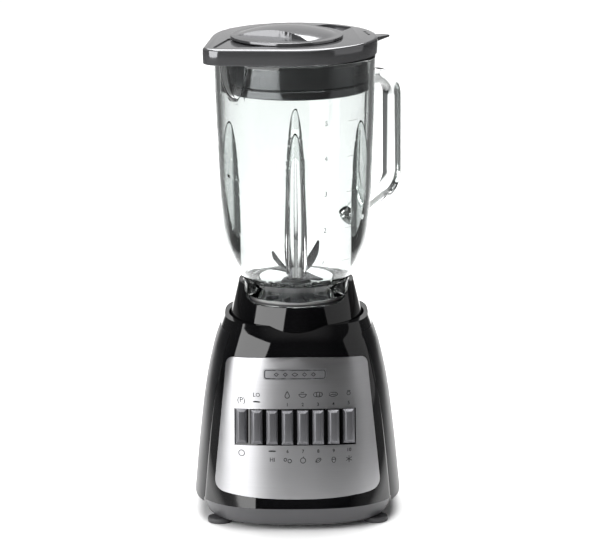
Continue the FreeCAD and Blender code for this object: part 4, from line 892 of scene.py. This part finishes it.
# Cast silicone with a soft, dusty skin.
silicone = new_material("silicone_moulded_pale")
place = add_node(silicone, "ShaderNodeTexCoord").outputs["Object"]
bloom = add_node(silicone, "ShaderNodeTexNoise", {"Vector": place, "Scale": 300.0, "Detail": 4.0})
silicone_tone = add_node(silicone, "ShaderNodeMix",
                         {"Factor": bloom.outputs["Fac"], "A": colour("b0b0b0"),
                          "B": colour("c4c4c3")}, data_type="RGBA")
silicone_bump = add_node(silicone, "ShaderNodeBump",
                         {"Height": bloom.outputs["Fac"], "Strength": 0.1, "Distance": 0.0002})
finish_material(silicone, add_node(silicone, "ShaderNodeBsdfPrincipled", {
    "Base Color": silicone_tone.outputs["Result"], "Roughness": 0.5, "IOR": 1.43,
    "Normal": silicone_bump.outputs["Normal"]}))
flat_ring = turned_piece("sealing_ring", ((0.0310, 0.1720), (0.0395, 0.1720), (0.0395, 0.1743),
                                          (0.0310, 0.1743), (0.0310, 0.1720)), 128)
round_edges(flat_ring, 0.0006, 3, 40)
smooth_faces(flat_ring, 40)
finish_piece(flat_ring, silicone, "jar_base", "gasket_silicone", "jar_gasket")


# ---- Glass jar ----------------------------------------------------------------------------------
# A pressed soda-lime glass jar: a round foot, a belly that widens quickly and then slowly to the
# rim, four ribs inside, a pouring lip at the front left and a handle at the back right.

JAR_LEVELS = (  # height and outer radius, in metres
    (0.1860, 0.0412), (0.1925, 0.0464), (0.2020, 0.0516), (0.2180, 0.0560),
    (0.2480, 0.0590), (0.2890, 0.0609), (0.3250, 0.0623), (0.3660, 0.0633))
GLASS_WALL, GLASS_FOOT, GLASS_FLOOR, THROAT = 0.004, 0.1743, 0.1875, 0.0295
HANDLE_TURN, SPOUT_TURN = 40, 220
BAR_TOP, BAR_HALF_WIDTH, BAR_HALF_THICKNESS = 0.3375, 0.0105, 0.0078


def jar_radius(height):
    """The outer radius of the jar's wall at a height."""
    return smooth_through(JAR_LEVELS, height)[0]


heights = [0.186 + 0.18 * (step / 56) ** 1.25 for step in range(57)]
outer_side = [(jar_radius(height), height) for height in heights]
inner_side = [(max(radius - GLASS_WALL, 0.0378), height) for radius, height in outer_side
              if height > GLASS_FLOOR + 0.0015]
glass_profile = ([(THROAT, GLASS_FOOT), (0.0402, GLASS_FOOT), (0.0412, GLASS_FOOT + 0.001)]
                 + outer_side[:-1]
                 + [(0.0633, 0.3645), (0.0627, 0.3657), (0.0618, 0.3660), (0.0605, 0.3660),
                    (0.0597, 0.3656), (0.0593, 0.3645)]
                 + inner_side[-2::-1]
                 + [(0.0372, GLASS_FLOOR + 0.0004), (0.0355, GLASS_FLOOR), (0.0315, GLASS_FLOOR),
                    (0.0303, GLASS_FLOOR - 0.0008), (THROAT, GLASS_FOOT)])
jar = turned_piece("jar_wall", glass_profile, 144)


def egg_solid(name, centre, radii, azimuth, rings=40, segments=48):
    clear_selection()
    bpy.ops.mesh.primitive_uv_sphere_add(segments=segments, ring_count=rings, radius=1, scale=radii,
                                         location=centre)
    egg = bpy.context.object
    egg.name = name
    settle()
    egg.rotation_euler = (0, 0, math.radians(azimuth))
    settle()
    return egg


lip_outer = egg_solid("lip_outer", (0.057, 0, 0.366), (0.014, 0.015, 0.034), SPOUT_TURN)
combine(lip_outer, rod_solid("above", 0.2, 0.366, 0.5, sides=32))
combine(jar, lip_outer, how="UNION")
core_profile = ([(0.0, GLASS_FLOOR + 0.001), (0.036, GLASS_FLOOR + 0.001)] + inner_side
                + [(0.0, 0.366)])
combine(jar, turned_piece("jar_core", core_profile, 144))
combine(jar, egg_solid("lip_inner", (0.057, 0, 0.3662), (0.010, 0.011, 0.030), SPOUT_TURN))


def handle_bar():
    """The handle's bar: an oval drawn out, swept down, drawn down and swept back to the wall."""
    clear_selection()
    bpy.ops.mesh.primitive_circle_add(vertices=40, radius=1, location=(0.0590, 0, BAR_TOP),
                                      rotation=(0, math.radians(90), 0))
    bar = bpy.context.object
    bar.name = "handle_bar"
    settle()
    for vertex in bar.data.vertices:
        vertex.co = (vertex.co.x, vertex.co.y * BAR_HALF_WIDTH,
                     BAR_TOP + (vertex.co.z - BAR_TOP) * BAR_HALF_THICKNESS)
    bpy.ops.object.mode_set(mode="EDIT")
    bpy.ops.mesh.select_all(action="SELECT")
    for drawn, narrower in ((0.0030, 0.90), (0.0040, 0.93), (0.0060, 0.965), (0.0120, 1.0)):
        bpy.ops.mesh.extrude_region_move(TRANSFORM_OT_translate={"value": (drawn, 0, 0)})
        bpy.ops.transform.resize(value=(1, narrower, narrower))
    bpy.ops.mesh.spin(steps=18, angle=math.radians(90), center=(0.084, 0, 0.3205),
                      axis=(0, -1, 0))
    for half in range(2):
        bpy.ops.mesh.extrude_region_move(TRANSFORM_OT_translate={"value": (0, 0, -0.0314)})
    bpy.ops.mesh.spin(steps=14, angle=math.radians(64.5), center=(0.084, 0, 0.2577),
                      axis=(0, -1, 0))
    for drawn, wider in ((0.016, 1.0), (0.009, 1.06), (0.007, 1.12), (0.005, 1.10)):
        bpy.ops.mesh.extrude_region_move(
            TRANSFORM_OT_translate={"value": (-0.9026 * drawn, 0, -0.4305 * drawn)})
        bpy.ops.transform.resize(value=(wider, wider, wider))
    bpy.ops.mesh.select_all(action="DESELECT")
    bpy.ops.mesh.select_non_manifold()
    bpy.ops.mesh.edge_face_add()
    bpy.ops.mesh.select_all(action="SELECT")
    bpy.ops.mesh.normals_make_consistent(inside=False)
    bpy.ops.object.mode_set(mode="OBJECT")
    bar.rotation_euler = (0, 0, math.radians(HANDLE_TURN))
    settle()
    return bar


bar = handle_bar()
combine(bar, turned_piece("bar_core", core_profile, 144))
combine(jar, bar, how="UNION")
trim_profile = ([(0.0, 0.186), (outer_side[0][0] - 0.002, 0.186)]
                + [(radius - 0.002, height) for radius, height in outer_side[1:-1]]
                + [(0.0, outer_side[-2][1])])
for azimuth in (0, 90, 180, 270):
    rib = egg_solid("rib", (0.052, 0, 0.222), (0.0085, 0.0085, 0.090), azimuth, rings=56)
    combine(rib, turned_piece("trim", trim_profile, 144), how="INTERSECT")
    combine(jar, rib, how="UNION")
jar.name = "pressed_jar"
smooth_faces(jar, 60)

# Pressed glass is clear and fire-polished, with slow waves some 25 mm long from the mould.
soda_glass = new_material("soda_lime_glass_pressed")
place = add_node(soda_glass, "ShaderNodeTexCoord").outputs["Object"]
waves = add_node(soda_glass, "ShaderNodeTexNoise", {"Vector": place, "Scale": 40.0, "Detail": 1.0})
wave_bump = add_node(soda_glass, "ShaderNodeBump",
                     {"Height": waves.outputs["Fac"], "Strength": 0.10, "Distance": 0.0006})
finish_material(soda_glass, add_node(soda_glass, "ShaderNodeBsdfPrincipled", {
    "Base Color": colour("e6e9e8"), "Transmission Weight": 1.0, "Roughness": 0.0, "IOR": 1.5,
    "Normal": wave_bump.outputs["Normal"]}))
finish_piece(jar, soda_glass, "jar", "jar_glass", "glass_jar")


# ---- Lid and its gasket -------------------------------------------------------------------------
# A moulded polypropylene lid with a deep band, a nose that covers the pouring lip, a lift tab over
# the handle and a skirt whose softer sealing ring grips the inside of the jar.

LID_RADIUS, LID_BOTTOM, LID_TOP = 0.065, 0.3664, 0.379
NOSE_RADIUS, NOSE_REACH, NOSE_TURN = 0.014, 0.074, 220
TAB_TURN, FILLER_CENTRE, FILLER_RADIUS = 35, (-0.006, -0.006), 0.027


def flat_plate(name, corners, bottom, top, azimuth=0):
    """A plan outline of (x, y) corners, turned to an azimuth and given two heights."""
    plate = outline_prism(name, [(x, -y) for x, y in corners], bottom, top)
    plate.rotation_euler = (math.radians(90), 0, 0)
    settle()
    plate.rotation_euler = (0, 0, math.radians(azimuth))
    settle()
    return plate


def nosed_outline(grow=0.0):
    """Two circles and their outer tangents: the lid's plan, its nose towards +X."""
    half = math.degrees(math.acos((LID_RADIUS - NOSE_RADIUS) / NOSE_REACH))
    corners = []
    for step in range(97):
        turn = math.radians(half + (360 - 2 * half) * step / 96)
        corners.append(((LID_RADIUS + grow) * math.cos(turn),
                        (LID_RADIUS + grow) * math.sin(turn)))
    for step in range(25):
        turn = math.radians(-half + 2 * half * step / 24)
        corners.append((NOSE_REACH + (NOSE_RADIUS + grow) * math.cos(turn),
                        (NOSE_RADIUS + grow) * math.sin(turn)))
    return corners


def bevel_level(piece, height, width, segments):
    """Rounds the edges that lie at one height."""
    clear_selection()
    bpy.context.view_layer.objects.active = piece
    piece.select_set(True)
    corners = piece.data.vertices
    for part in (*corners, *piece.data.edges, *piece.data.polygons):
        part.select = False
    for edge in piece.data.edges:
        edge.select = all(abs(corners[end].co.z - height) < 1e-5 for end in edge.vertices)
    bpy.ops.object.mode_set(mode="EDIT")
    bpy.ops.mesh.bevel(offset=width, segments=segments, affect="EDGES")
    bpy.ops.object.mode_set(mode="OBJECT")
    return piece


lid = flat_plate("lid_band", nosed_outline(), LID_BOTTOM, LID_TOP, NOSE_TURN)
bevel_level(lid, LID_TOP, 0.0024, 5)
bevel_level(lid, LID_BOTTOM, 0.0005, 2)
combine(lid, rod_solid("under", 0.055, 0.36, 0.375, sides=160))
combine(lid, turned_piece("skirt", (
    (0.0550, 0.3668), (0.0575, 0.3668), (0.0575, 0.3464), (0.0571, 0.3460), (0.0550, 0.3460),
    (0.0550, 0.3384), (0.0546, 0.3380), (0.0529, 0.3380), (0.0525, 0.3384), (0.0525, 0.3485),
    (0.0550, 0.3485), (0.0550, 0.3668)), 160), how="UNION")
combine(lid, rod_solid("filler_neck", 0.0295, 0.357, 0.377, FILLER_CENTRE), how="UNION")
combine(lid, rod_solid("filler_hole", FILLER_RADIUS, 0.35, 0.4, FILLER_CENTRE))
tab_corners = rounded_outline([(0.0615, -0.013, 0), (0.0905, -0.0032, 0.002),
                               (0.0905, 0.0032, 0.002), (0.0615, 0.013, 0)])
tab = flat_plate("lift_tab", tab_corners, 0.367, 0.372)
for vertex in tab.data.vertices:
    thinner = 1 - 0.72 * max(vertex.co.x - 0.068, 0) / 0.0225
    vertex.co.z = 0.3705 + (vertex.co.z - 0.3705) * thinner
tab.rotation_euler = (0, 0, math.radians(TAB_TURN))
settle()
round_edges(tab, 0.0005, 3, 50)
combine(lid, tab, how="UNION")
# The nose's flat is sunk a little, and a finger well lets the cap be levered out.
flat_corners = rounded_outline([(0.0830, 0.0, 0.005), (0.0440, 0.0265, 0.005),
                                (0.0440, -0.0265, 0.005)])
combine(lid, flat_plate("nose_flat", flat_corners, LID_TOP - 0.0009, LID_TOP + 0.01, NOSE_TURN))
well_corners = rounded_outline([(0.030, -0.019, 0.004), (0.0585, -0.0125, 0.004),
                                (0.0585, 0.0125, 0.004), (0.030, 0.019, 0.004)])
combine(lid, flat_plate("finger_well", well_corners, LID_TOP - 0.0032, LID_TOP + 0.01, 52))
for step in range(3):
    slot_corners = [(0.0565, -0.0105 + 0.0065 * step), (0.0585, -0.0105 + 0.0065 * step),
                    (0.0585, -0.0065 + 0.0065 * step), (0.0565, -0.0065 + 0.0065 * step)]
    combine(lid, flat_plate("grip_slot", slot_corners, LID_TOP - 0.0006, LID_TOP + 0.01, 12))
lid.name = "nosed_lid"
smooth_faces(lid, 30)

# Silver-grey polypropylene: metal flake in the resin, polished tool, so a soft mirror shine.
lid_polymer = new_material("polypropylene_silver_grey_polished")
place = add_node(lid_polymer, "ShaderNodeTexCoord").outputs["Object"]
flakes = add_node(lid_polymer, "ShaderNodeTexVoronoi", {"Vector": place, "Scale": 2600.0})
cloud = add_node(lid_polymer, "ShaderNodeTexNoise", {"Vector": place, "Scale": 55.0, "Detail": 4.0})
flake_tone = add_node(lid_polymer, "ShaderNodeMix",
                      {"Factor": flakes.outputs["Distance"], "A": colour("7c7c7e"),
                       "B": colour("747476")}, data_type="RGBA")
lid_rough = add_node(lid_polymer, "ShaderNodeMapRange",
                     {"Value": cloud.outputs["Fac"], "To Min": 0.08, "To Max": 0.15})
lid_wave = add_node(lid_polymer, "ShaderNodeBump",
                    {"Height": cloud.outputs["Fac"], "Strength": 0.03, "Distance": 0.0005})
finish_material(lid_polymer, add_node(lid_polymer, "ShaderNodeBsdfPrincipled", {
    "Base Color": flake_tone.outputs["Result"], "Metallic": 0.7, "IOR": 1.49,
    "Roughness": lid_rough.outputs["Result"], "Normal": lid_wave.outputs["Normal"]}))
finish_piece(lid, lid_polymer, "lid", "lid_plastic", "lid")

sealing_ring = turned_piece("lid_seal", (
    (0.0551, 0.3385), (0.0574, 0.3385), (0.0581, 0.3392), (0.0576, 0.3402), (0.0576, 0.3445),
    (0.0581, 0.3450), (0.0576, 0.3455), (0.0551, 0.3455), (0.0551, 0.3385)), 160)
smooth_faces(sealing_ring, 40)
finish_piece(sealing_ring, lid_polymer, "lid", "lid_gasket_plastic", "lid_gasket")


# ---- Filler cap ---------------------------------------------------------------------------------
# A low dome with a scooped front, moulded in one with the hollow plug that fits the filler hole.

CAP_BOTTOM, CAP_RADIUS, CAP_RISE, SCOOP_FLOOR = 0.3793, 0.044, 0.0085, 0.3815
PLUG_RADIUS, PLUG_BORE, PLUG_BOTTOM = 0.0267, 0.0245, 0.3553

dome_radius = (CAP_RADIUS ** 2 + CAP_RISE ** 2) / (2 * CAP_RISE)
dome_centre = CAP_BOTTOM + CAP_RISE - dome_radius
dome_steps = [CAP_RADIUS * 0.985 * step / 28 for step in range(29)]
dome_side = [(radius, max(dome_centre + math.sqrt(dome_radius ** 2 - radius ** 2), SCOOP_FLOOR))
             for radius in dome_steps]
cap = turned_piece("cap_dome", dome_side + [
    (0.0438, 0.3813), (CAP_RADIUS, 0.3809), (CAP_RADIUS, CAP_BOTTOM + 0.0003),
    (0.0437, CAP_BOTTOM), (PLUG_RADIUS, CAP_BOTTOM), (PLUG_RADIUS, PLUG_BOTTOM + 0.0004),
    (0.0263, PLUG_BOTTOM), (PLUG_BORE, PLUG_BOTTOM), (PLUG_BORE, CAP_BOTTOM - 0.0006),
    (0.0239, CAP_BOTTOM), (0.0, CAP_BOTTOM)], 144)
cap.location = (*FILLER_CENTRE, 0)
settle()
combine(cap, rod_solid("scoop", 0.079, SCOOP_FLOOR, 0.41, (-0.0521, -0.0888), 360))
round_edges(cap, 0.0009, 3, 35)
cap.name = "domed_cap"
smooth_faces(cap, 30)
finish_piece(cap, lid_polymer, "cap", "cap_plastic", "filler_cap")


# ---- Jar graduations ----------------------------------------------------------------------------
# Five cup marks are fired on to the glass in grey enamel: a short line for each and its number.

# Fired ceramic ink: matt and slightly speckled.
enamel = new_material("enamel_fired_pale_grey")
place = add_node(enamel, "ShaderNodeTexCoord").outputs["Object"]
speckle = add_node(enamel, "ShaderNodeTexNoise", {"Vector": place, "Scale": 1200.0, "Detail": 4.0})
enamel_tone = add_node(enamel, "ShaderNodeMix",
                       {"Factor": speckle.outputs["Fac"], "A": colour("6c6c6c"),
                        "B": colour("808080")}, data_type="RGBA")
finish_material(enamel, add_node(enamel, "ShaderNodeBsdfPrincipled", {
    "Base Color": enamel_tone.outputs["Result"], "Roughness": 0.5, "IOR": 1.5}))


def text_body(words, height, thickness, weight=0.0):
    """Flat letters as a closed mesh, in the X-Y plane, centred on the origin."""
    clear_selection()
    bpy.ops.object.text_add(location=(0, 0, 0))
    letters = bpy.context.object
    letters.data.body = words
    letters.data.size = height * 1.42
    letters.data.align_x, letters.data.align_y = "CENTER", "CENTER"
    letters.data.extrude = thickness / 2
    letters.data.offset = weight
    letters.data.resolution_u = 3
    bpy.ops.object.convert(target="MESH")
    bpy.ops.object.mode_set(mode="EDIT")
    bpy.ops.mesh.select_all(action="SELECT")
    bpy.ops.mesh.remove_doubles(threshold=1e-7)
    bpy.ops.object.mode_set(mode="OBJECT")
    return bpy.context.object


def stroke_body(points, width, closed=True):
    """A drawn line as a thin mesh tube in the X-Y plane through points in millimetres."""
    clear_selection()
    bpy.ops.curve.primitive_nurbs_path_add()
    line = bpy.context.object
    line.data.splines.clear()
    run = line.data.splines.new("NURBS")
    run.points.add(len(points) - 1)
    for point, (x, y) in zip(run.points, points):
        point.co = (x / 1000, y / 1000, 0, 1)
    run.use_cyclic_u = closed
    run.use_endpoint_u = not closed
    run.order_u = 3
    line.data.bevel_depth = width / 2
    line.data.bevel_resolution = 0
    line.data.resolution_u = 4
    line.data.use_fill_caps = True
    bpy.ops.object.convert(target="MESH")
    return bpy.context.object


def wrap_on_jar(mark, azimuth, height):
    """Bends a flat mark round the outside of the jar."""
    for vertex in mark.data.vertices:
        level = height + vertex.co.y
        reach = jar_radius(level) + vertex.co.z
        turn = math.radians(azimuth) + vertex.co.x / jar_radius(level)
        vertex.co = (reach * math.cos(turn), reach * math.sin(turn), level)
    return mark


CUP_HEIGHTS = (0.208, 0.235, 0.264, 0.292, 0.320)
NUMBER_AZIMUTH, LINE_AZIMUTH = -67, -44

cup_marks = []
for number, height in enumerate(CUP_HEIGHTS, start=1):
    number_body = text_body(str(number), 0.0042, 0.00008)
    cup_marks.append(wrap_on_jar(number_body, NUMBER_AZIMUTH, height))
    line_body = stroke_body([(-4.5, 0), (-1.5, 0), (1.5, 0), (4.5, 0)], 0.00035, False)
    cup_marks.append(wrap_on_jar(line_body, LINE_AZIMUTH, height))
cup_marks = joined("cup_marks", cup_marks)
finish_piece(cup_marks, enamel, "jar", "jar_glass")


# ---- Panel legends ------------------------------------------------------------------------------
# Speed numbers and plain food signs are pad-printed on the steel in dark ink, in line with the
# keys; the badge carries a plain ruled border and five lozenges.

# Pad-printing ink: thin, satin and slightly uneven.
ink = new_material("pad_printing_ink_grey")
place = add_node(ink, "ShaderNodeTexCoord").outputs["Object"]
grain = add_node(ink, "ShaderNodeTexNoise", {"Vector": place, "Scale": 1500.0, "Detail": 3.0})
ink_tone = add_node(ink, "ShaderNodeMix",
                    {"Factor": grain.outputs["Fac"], "A": colour("161618"), "B": colour("222224")},
                    data_type="RGBA")
finish_material(ink, add_node(ink, "ShaderNodeBsdfPrincipled", {
    "Base Color": ink_tone.outputs["Result"], "Roughness": 0.42, "IOR": 1.48}))


def lay_on_face(mark, x, height, proud):
    """Bends a flat mark over the front of the casing, a given distance proud of it."""
    for vertex in mark.data.vertices:
        across, level = x + vertex.co.x, height + vertex.co.y
        vertex.co = (across, -front_depth(across, level, proud) - vertex.co.z, level)
    bpy.ops.object.mode_set(mode="EDIT")
    bpy.ops.mesh.select_all(action="SELECT")
    bpy.ops.mesh.normals_make_consistent(inside=False)
    bpy.ops.object.mode_set(mode="OBJECT")
    return mark


def round_points(radius, count=8, x=0.0, y=0.0):
    return [(x + radius * math.cos(2 * math.pi * step / count),
             y + radius * math.sin(2 * math.pi * step / count)) for step in range(count)]


INK_LINE, INK_THICKNESS, INK_WEIGHT, STROKE_FLATNESS = 0.0006, 0.00005, 0.00007, 0.15
SIGNS = {  # strokes of each sign in millimetres from its middle, and whether each is closed
    "drop": [([(0, 3.2), (1.0, 1.2), (1.9, -0.6), (1.2, -2.4), (-1.2, -2.4), (-1.9, -0.6),
               (-1.0, 1.2)], True)],
    "bowl": [([(-3, 0.6), (-2.4, -1.8), (2.4, -1.8), (3, 0.6)], False),
             ([(-3, 0.6), (0, 0.7), (3, 0.6)], False),
             ([(-1.5, 1.6), (-0.7, 2.4), (0.2, 1.7), (1.2, 2.3)], False)],
    "loaf": [([(-3.4, -1.6), (-3.4, 1.6), (0, 2.2), (3.4, 1.6), (3.4, -1.6)], True),
             ([(-1.2, 1.6), (-1.0, 0), (-1.2, -1.6)], False),
             ([(1.2, 1.6), (1.0, 0), (1.2, -1.6)], False)],
    "tray": [([(-3.2, -1.5), (-3.2, 1.5), (3.2, 1.5), (3.2, -1.5)], True),
             ([(-2.2, 0), (2.2, 0)], False)],
    "nut": [(round_points(1.4), True), ([(-1.3, 1.6), (0, 2.6), (1.3, 1.6)], False)],
    "beans": [(round_points(1.2, 8, -1.8, 0.6), True), (round_points(1.5, 8, 1.6, -0.4), True)],
    "fruit": [(round_points(2.2), True), ([(0, 2.0), (0.5, 3.0)], False)],
    "leaf": [([(-2.6, -1.6), (-0.6, 1.8), (2.8, 1.4), (0.8, -1.6)], True),
             ([(-2.4, -1.4), (1.6, 0.8)], False)],
    "glass": [([(-1.7, 2), (-1.1, -2.2), (1.1, -2.2), (1.7, 2)], True),
              ([(-1.5, 0.4), (1.5, 0.4)], False)],
    "ice": [([(0, 2.6), (0, -2.6)], False), ([(-2.2, 1.3), (2.2, -1.3)], False),
            ([(-2.2, -1.3), (2.2, 1.3)], False)],
    "hump": [([(-3.3, -0.3), (-1.8, 0.3), (1.8, 0.3), (3.3, -0.3)], True)],
    "ring": [(round_points(2.3, 12), True)]}

legends = []


def print_words(words, place_number, height, size):
    letters = text_body(words, size, INK_THICKNESS, INK_WEIGHT)
    legends.append(lay_on_face(letters, KEY_PLACES[place_number], height, PANEL_PROUD))


def print_stroke(points, closed, width, x, height, proud):
    stroke = stroke_body(points, width, closed)
    for vertex in stroke.data.vertices:
        vertex.co.z *= STROKE_FLATNESS
    legends.append(lay_on_face(stroke, x, height, proud))


def print_sign(name, place_number, height):
    for points, closed in SIGNS[name]:
        print_stroke(points, closed, INK_LINE, KEY_PLACES[place_number], height, PANEL_PROUD)


print_words("(P)", 0, 0.1017, 0.0040)
print_words("LO", 1, 0.1064, 0.0031)
print_words("HI", 2, 0.0564, 0.0031)
print_sign("hump", 1, 0.1012)
print_sign("hump", 2, 0.0632)
print_sign("ring", 0, 0.0608)
for place_number, sign in zip(range(3, 8), ("drop", "bowl", "loaf", "tray", "nut")):
    print_words(str(place_number - 2), place_number, 0.0993, 0.0026)
    print_sign(sign, place_number, 0.1068)
for place_number, sign in zip(range(3, 8), ("beans", "fruit", "leaf", "glass", "ice")):
    print_words(str(place_number + 3), place_number, 0.0630, 0.0026)
    print_sign(sign, place_number, 0.0560)

BADGE_MIDDLE = (BADGE[2] + BADGE[3]) / 2
FIELD_PROUD = BADGE_PROUD - 0.0003
BORDER_WIDTH, BORDER_CORNER = 0.0007, 1.6
border = rounded_outline([(x, y, BORDER_CORNER) for x, y in (
    (-23.6, -3.2), (-23.6, 3.2), (23.6, 3.2), (23.6, -3.2))], steps=4)
print_stroke(border, True, BORDER_WIDTH, BADGE_X, BADGE_MIDDLE, FIELD_PROUD)
for x, wide in ((-0.0145, 1.6), (-0.0075, 1.6), (0.0, 2.3), (0.0075, 1.6), (0.0145, 1.6)):
    # Each corner is given twice, which keeps it sharp.
    lozenge = [corner for corner in ((-wide, 0), (0, 1.3), (wide, 0), (0, -1.3))
               for repeat in range(2)]
    print_stroke(lozenge, True, INK_LINE, BADGE_X + x, BADGE_MIDDLE, FIELD_PROUD)
legends = joined("printed_legends", legends)
finish_piece(legends, ink, "base", "satin_dark")


# ---- Motor, drive and fixings -------------------------------------------------------------------
# The parts inside the base keep their designed shapes. Each takes the finish that its stock or its
# moulding gives it, with grain, tool marks or tarnish at a size that shows.

STOCK = (  # finish, dark and light tone, stretch of its marks per metre, metallic, roughness, parts
    ("steel_laminated_silicon", "5d5f63", "7b7d81", (60, 60, 2600), 1.0, 0.42,
     ("stator_core", "armature_core")),
    ("copper_enamelled_wire", "8a4a24", "b86c3a", (500, 500, 2200), 0.9, 0.34,
     ("field_coils", "armature_windings")),
    ("copper_hard_drawn", "a05f3c", "c07c55", (900, 900, 90), 1.0, 0.30, ("commutator",)),
    ("brass_stamped", "a88a45", "c9ab62", (700, 700, 700), 1.0, 0.32, ("switch_terminals",)),
    ("bronze_sintered", "7d5a35", "9b7748", (1800, 1800, 1800), 0.9, 0.48,
     ("upper_bushing", "lower_bushing", "blade_bushing")),
    ("steel_zinc_plated", "8d9093", "b0b3b6", (240, 240, 900), 1.0, 0.36,
     ("upper_bracket", "lower_bracket", "motor_screws", "cover_screws")),
    ("steel_turned_bright", "9b9da0", "c2c4c7", (80, 80, 3000), 1.0, 0.26,
     ("motor_shaft", "drive_coupling", "jar_drive_socket", "brush_springs")),
    ("carbon_pressed", "1c1c1d", "2c2c2d", (1600, 1600, 1600), 0.0, 0.62, ("carbon_brushes",)),
    ("rubber_nitrile_black", "161617", "232324", (420, 420, 420), 0.0, 0.68,
     ("motor_mounts", "slinger", "shaft_seal", "cord_inlet_bush")),
    ("nylon_black_moulded", "202022", "2d2d2f", (900, 900, 900), 0.0, 0.40,
     ("brush_holders", "switch_bank")),
    ("nylon_natural_moulded", "b9b39e", "cdc8b6", (600, 600, 600), 0.0, 0.42, ("cooling_fan",)),
    ("glass_epoxy_laminate", "3d5a35", "4f6f44", (1400, 1400, 200), 0.0, 0.45, ("diode_board",)))

for finish, dark, light, stretch, metallic, roughness, parts in STOCK:
    stock = new_material(finish)
    place = add_node(stock, "ShaderNodeTexCoord").outputs["Object"]
    drawn = add_node(stock, "ShaderNodeMapping", {"Vector": place, "Scale": stretch})
    texture = add_node(stock, "ShaderNodeTexNoise",
                       {"Vector": drawn.outputs["Vector"], "Scale": 1.0, "Detail": 4.0})
    tone = add_node(stock, "ShaderNodeMix", {"Factor": texture.outputs["Fac"], "A": colour(dark),
                                             "B": colour(light)}, data_type="RGBA")
    relief = add_node(stock, "ShaderNodeBump",
                      {"Height": texture.outputs["Fac"], "Strength": 0.15, "Distance": 0.0001})
    finish_material(stock, add_node(stock, "ShaderNodeBsdfPrincipled", {
        "Base Color": tone.outputs["Result"], "Metallic": metallic, "Roughness": roughness,
        "Normal": relief.outputs["Normal"]}))
    for part in parts:
        nodes[part].data.materials.clear()
        nodes[part].data.materials.append(stock)
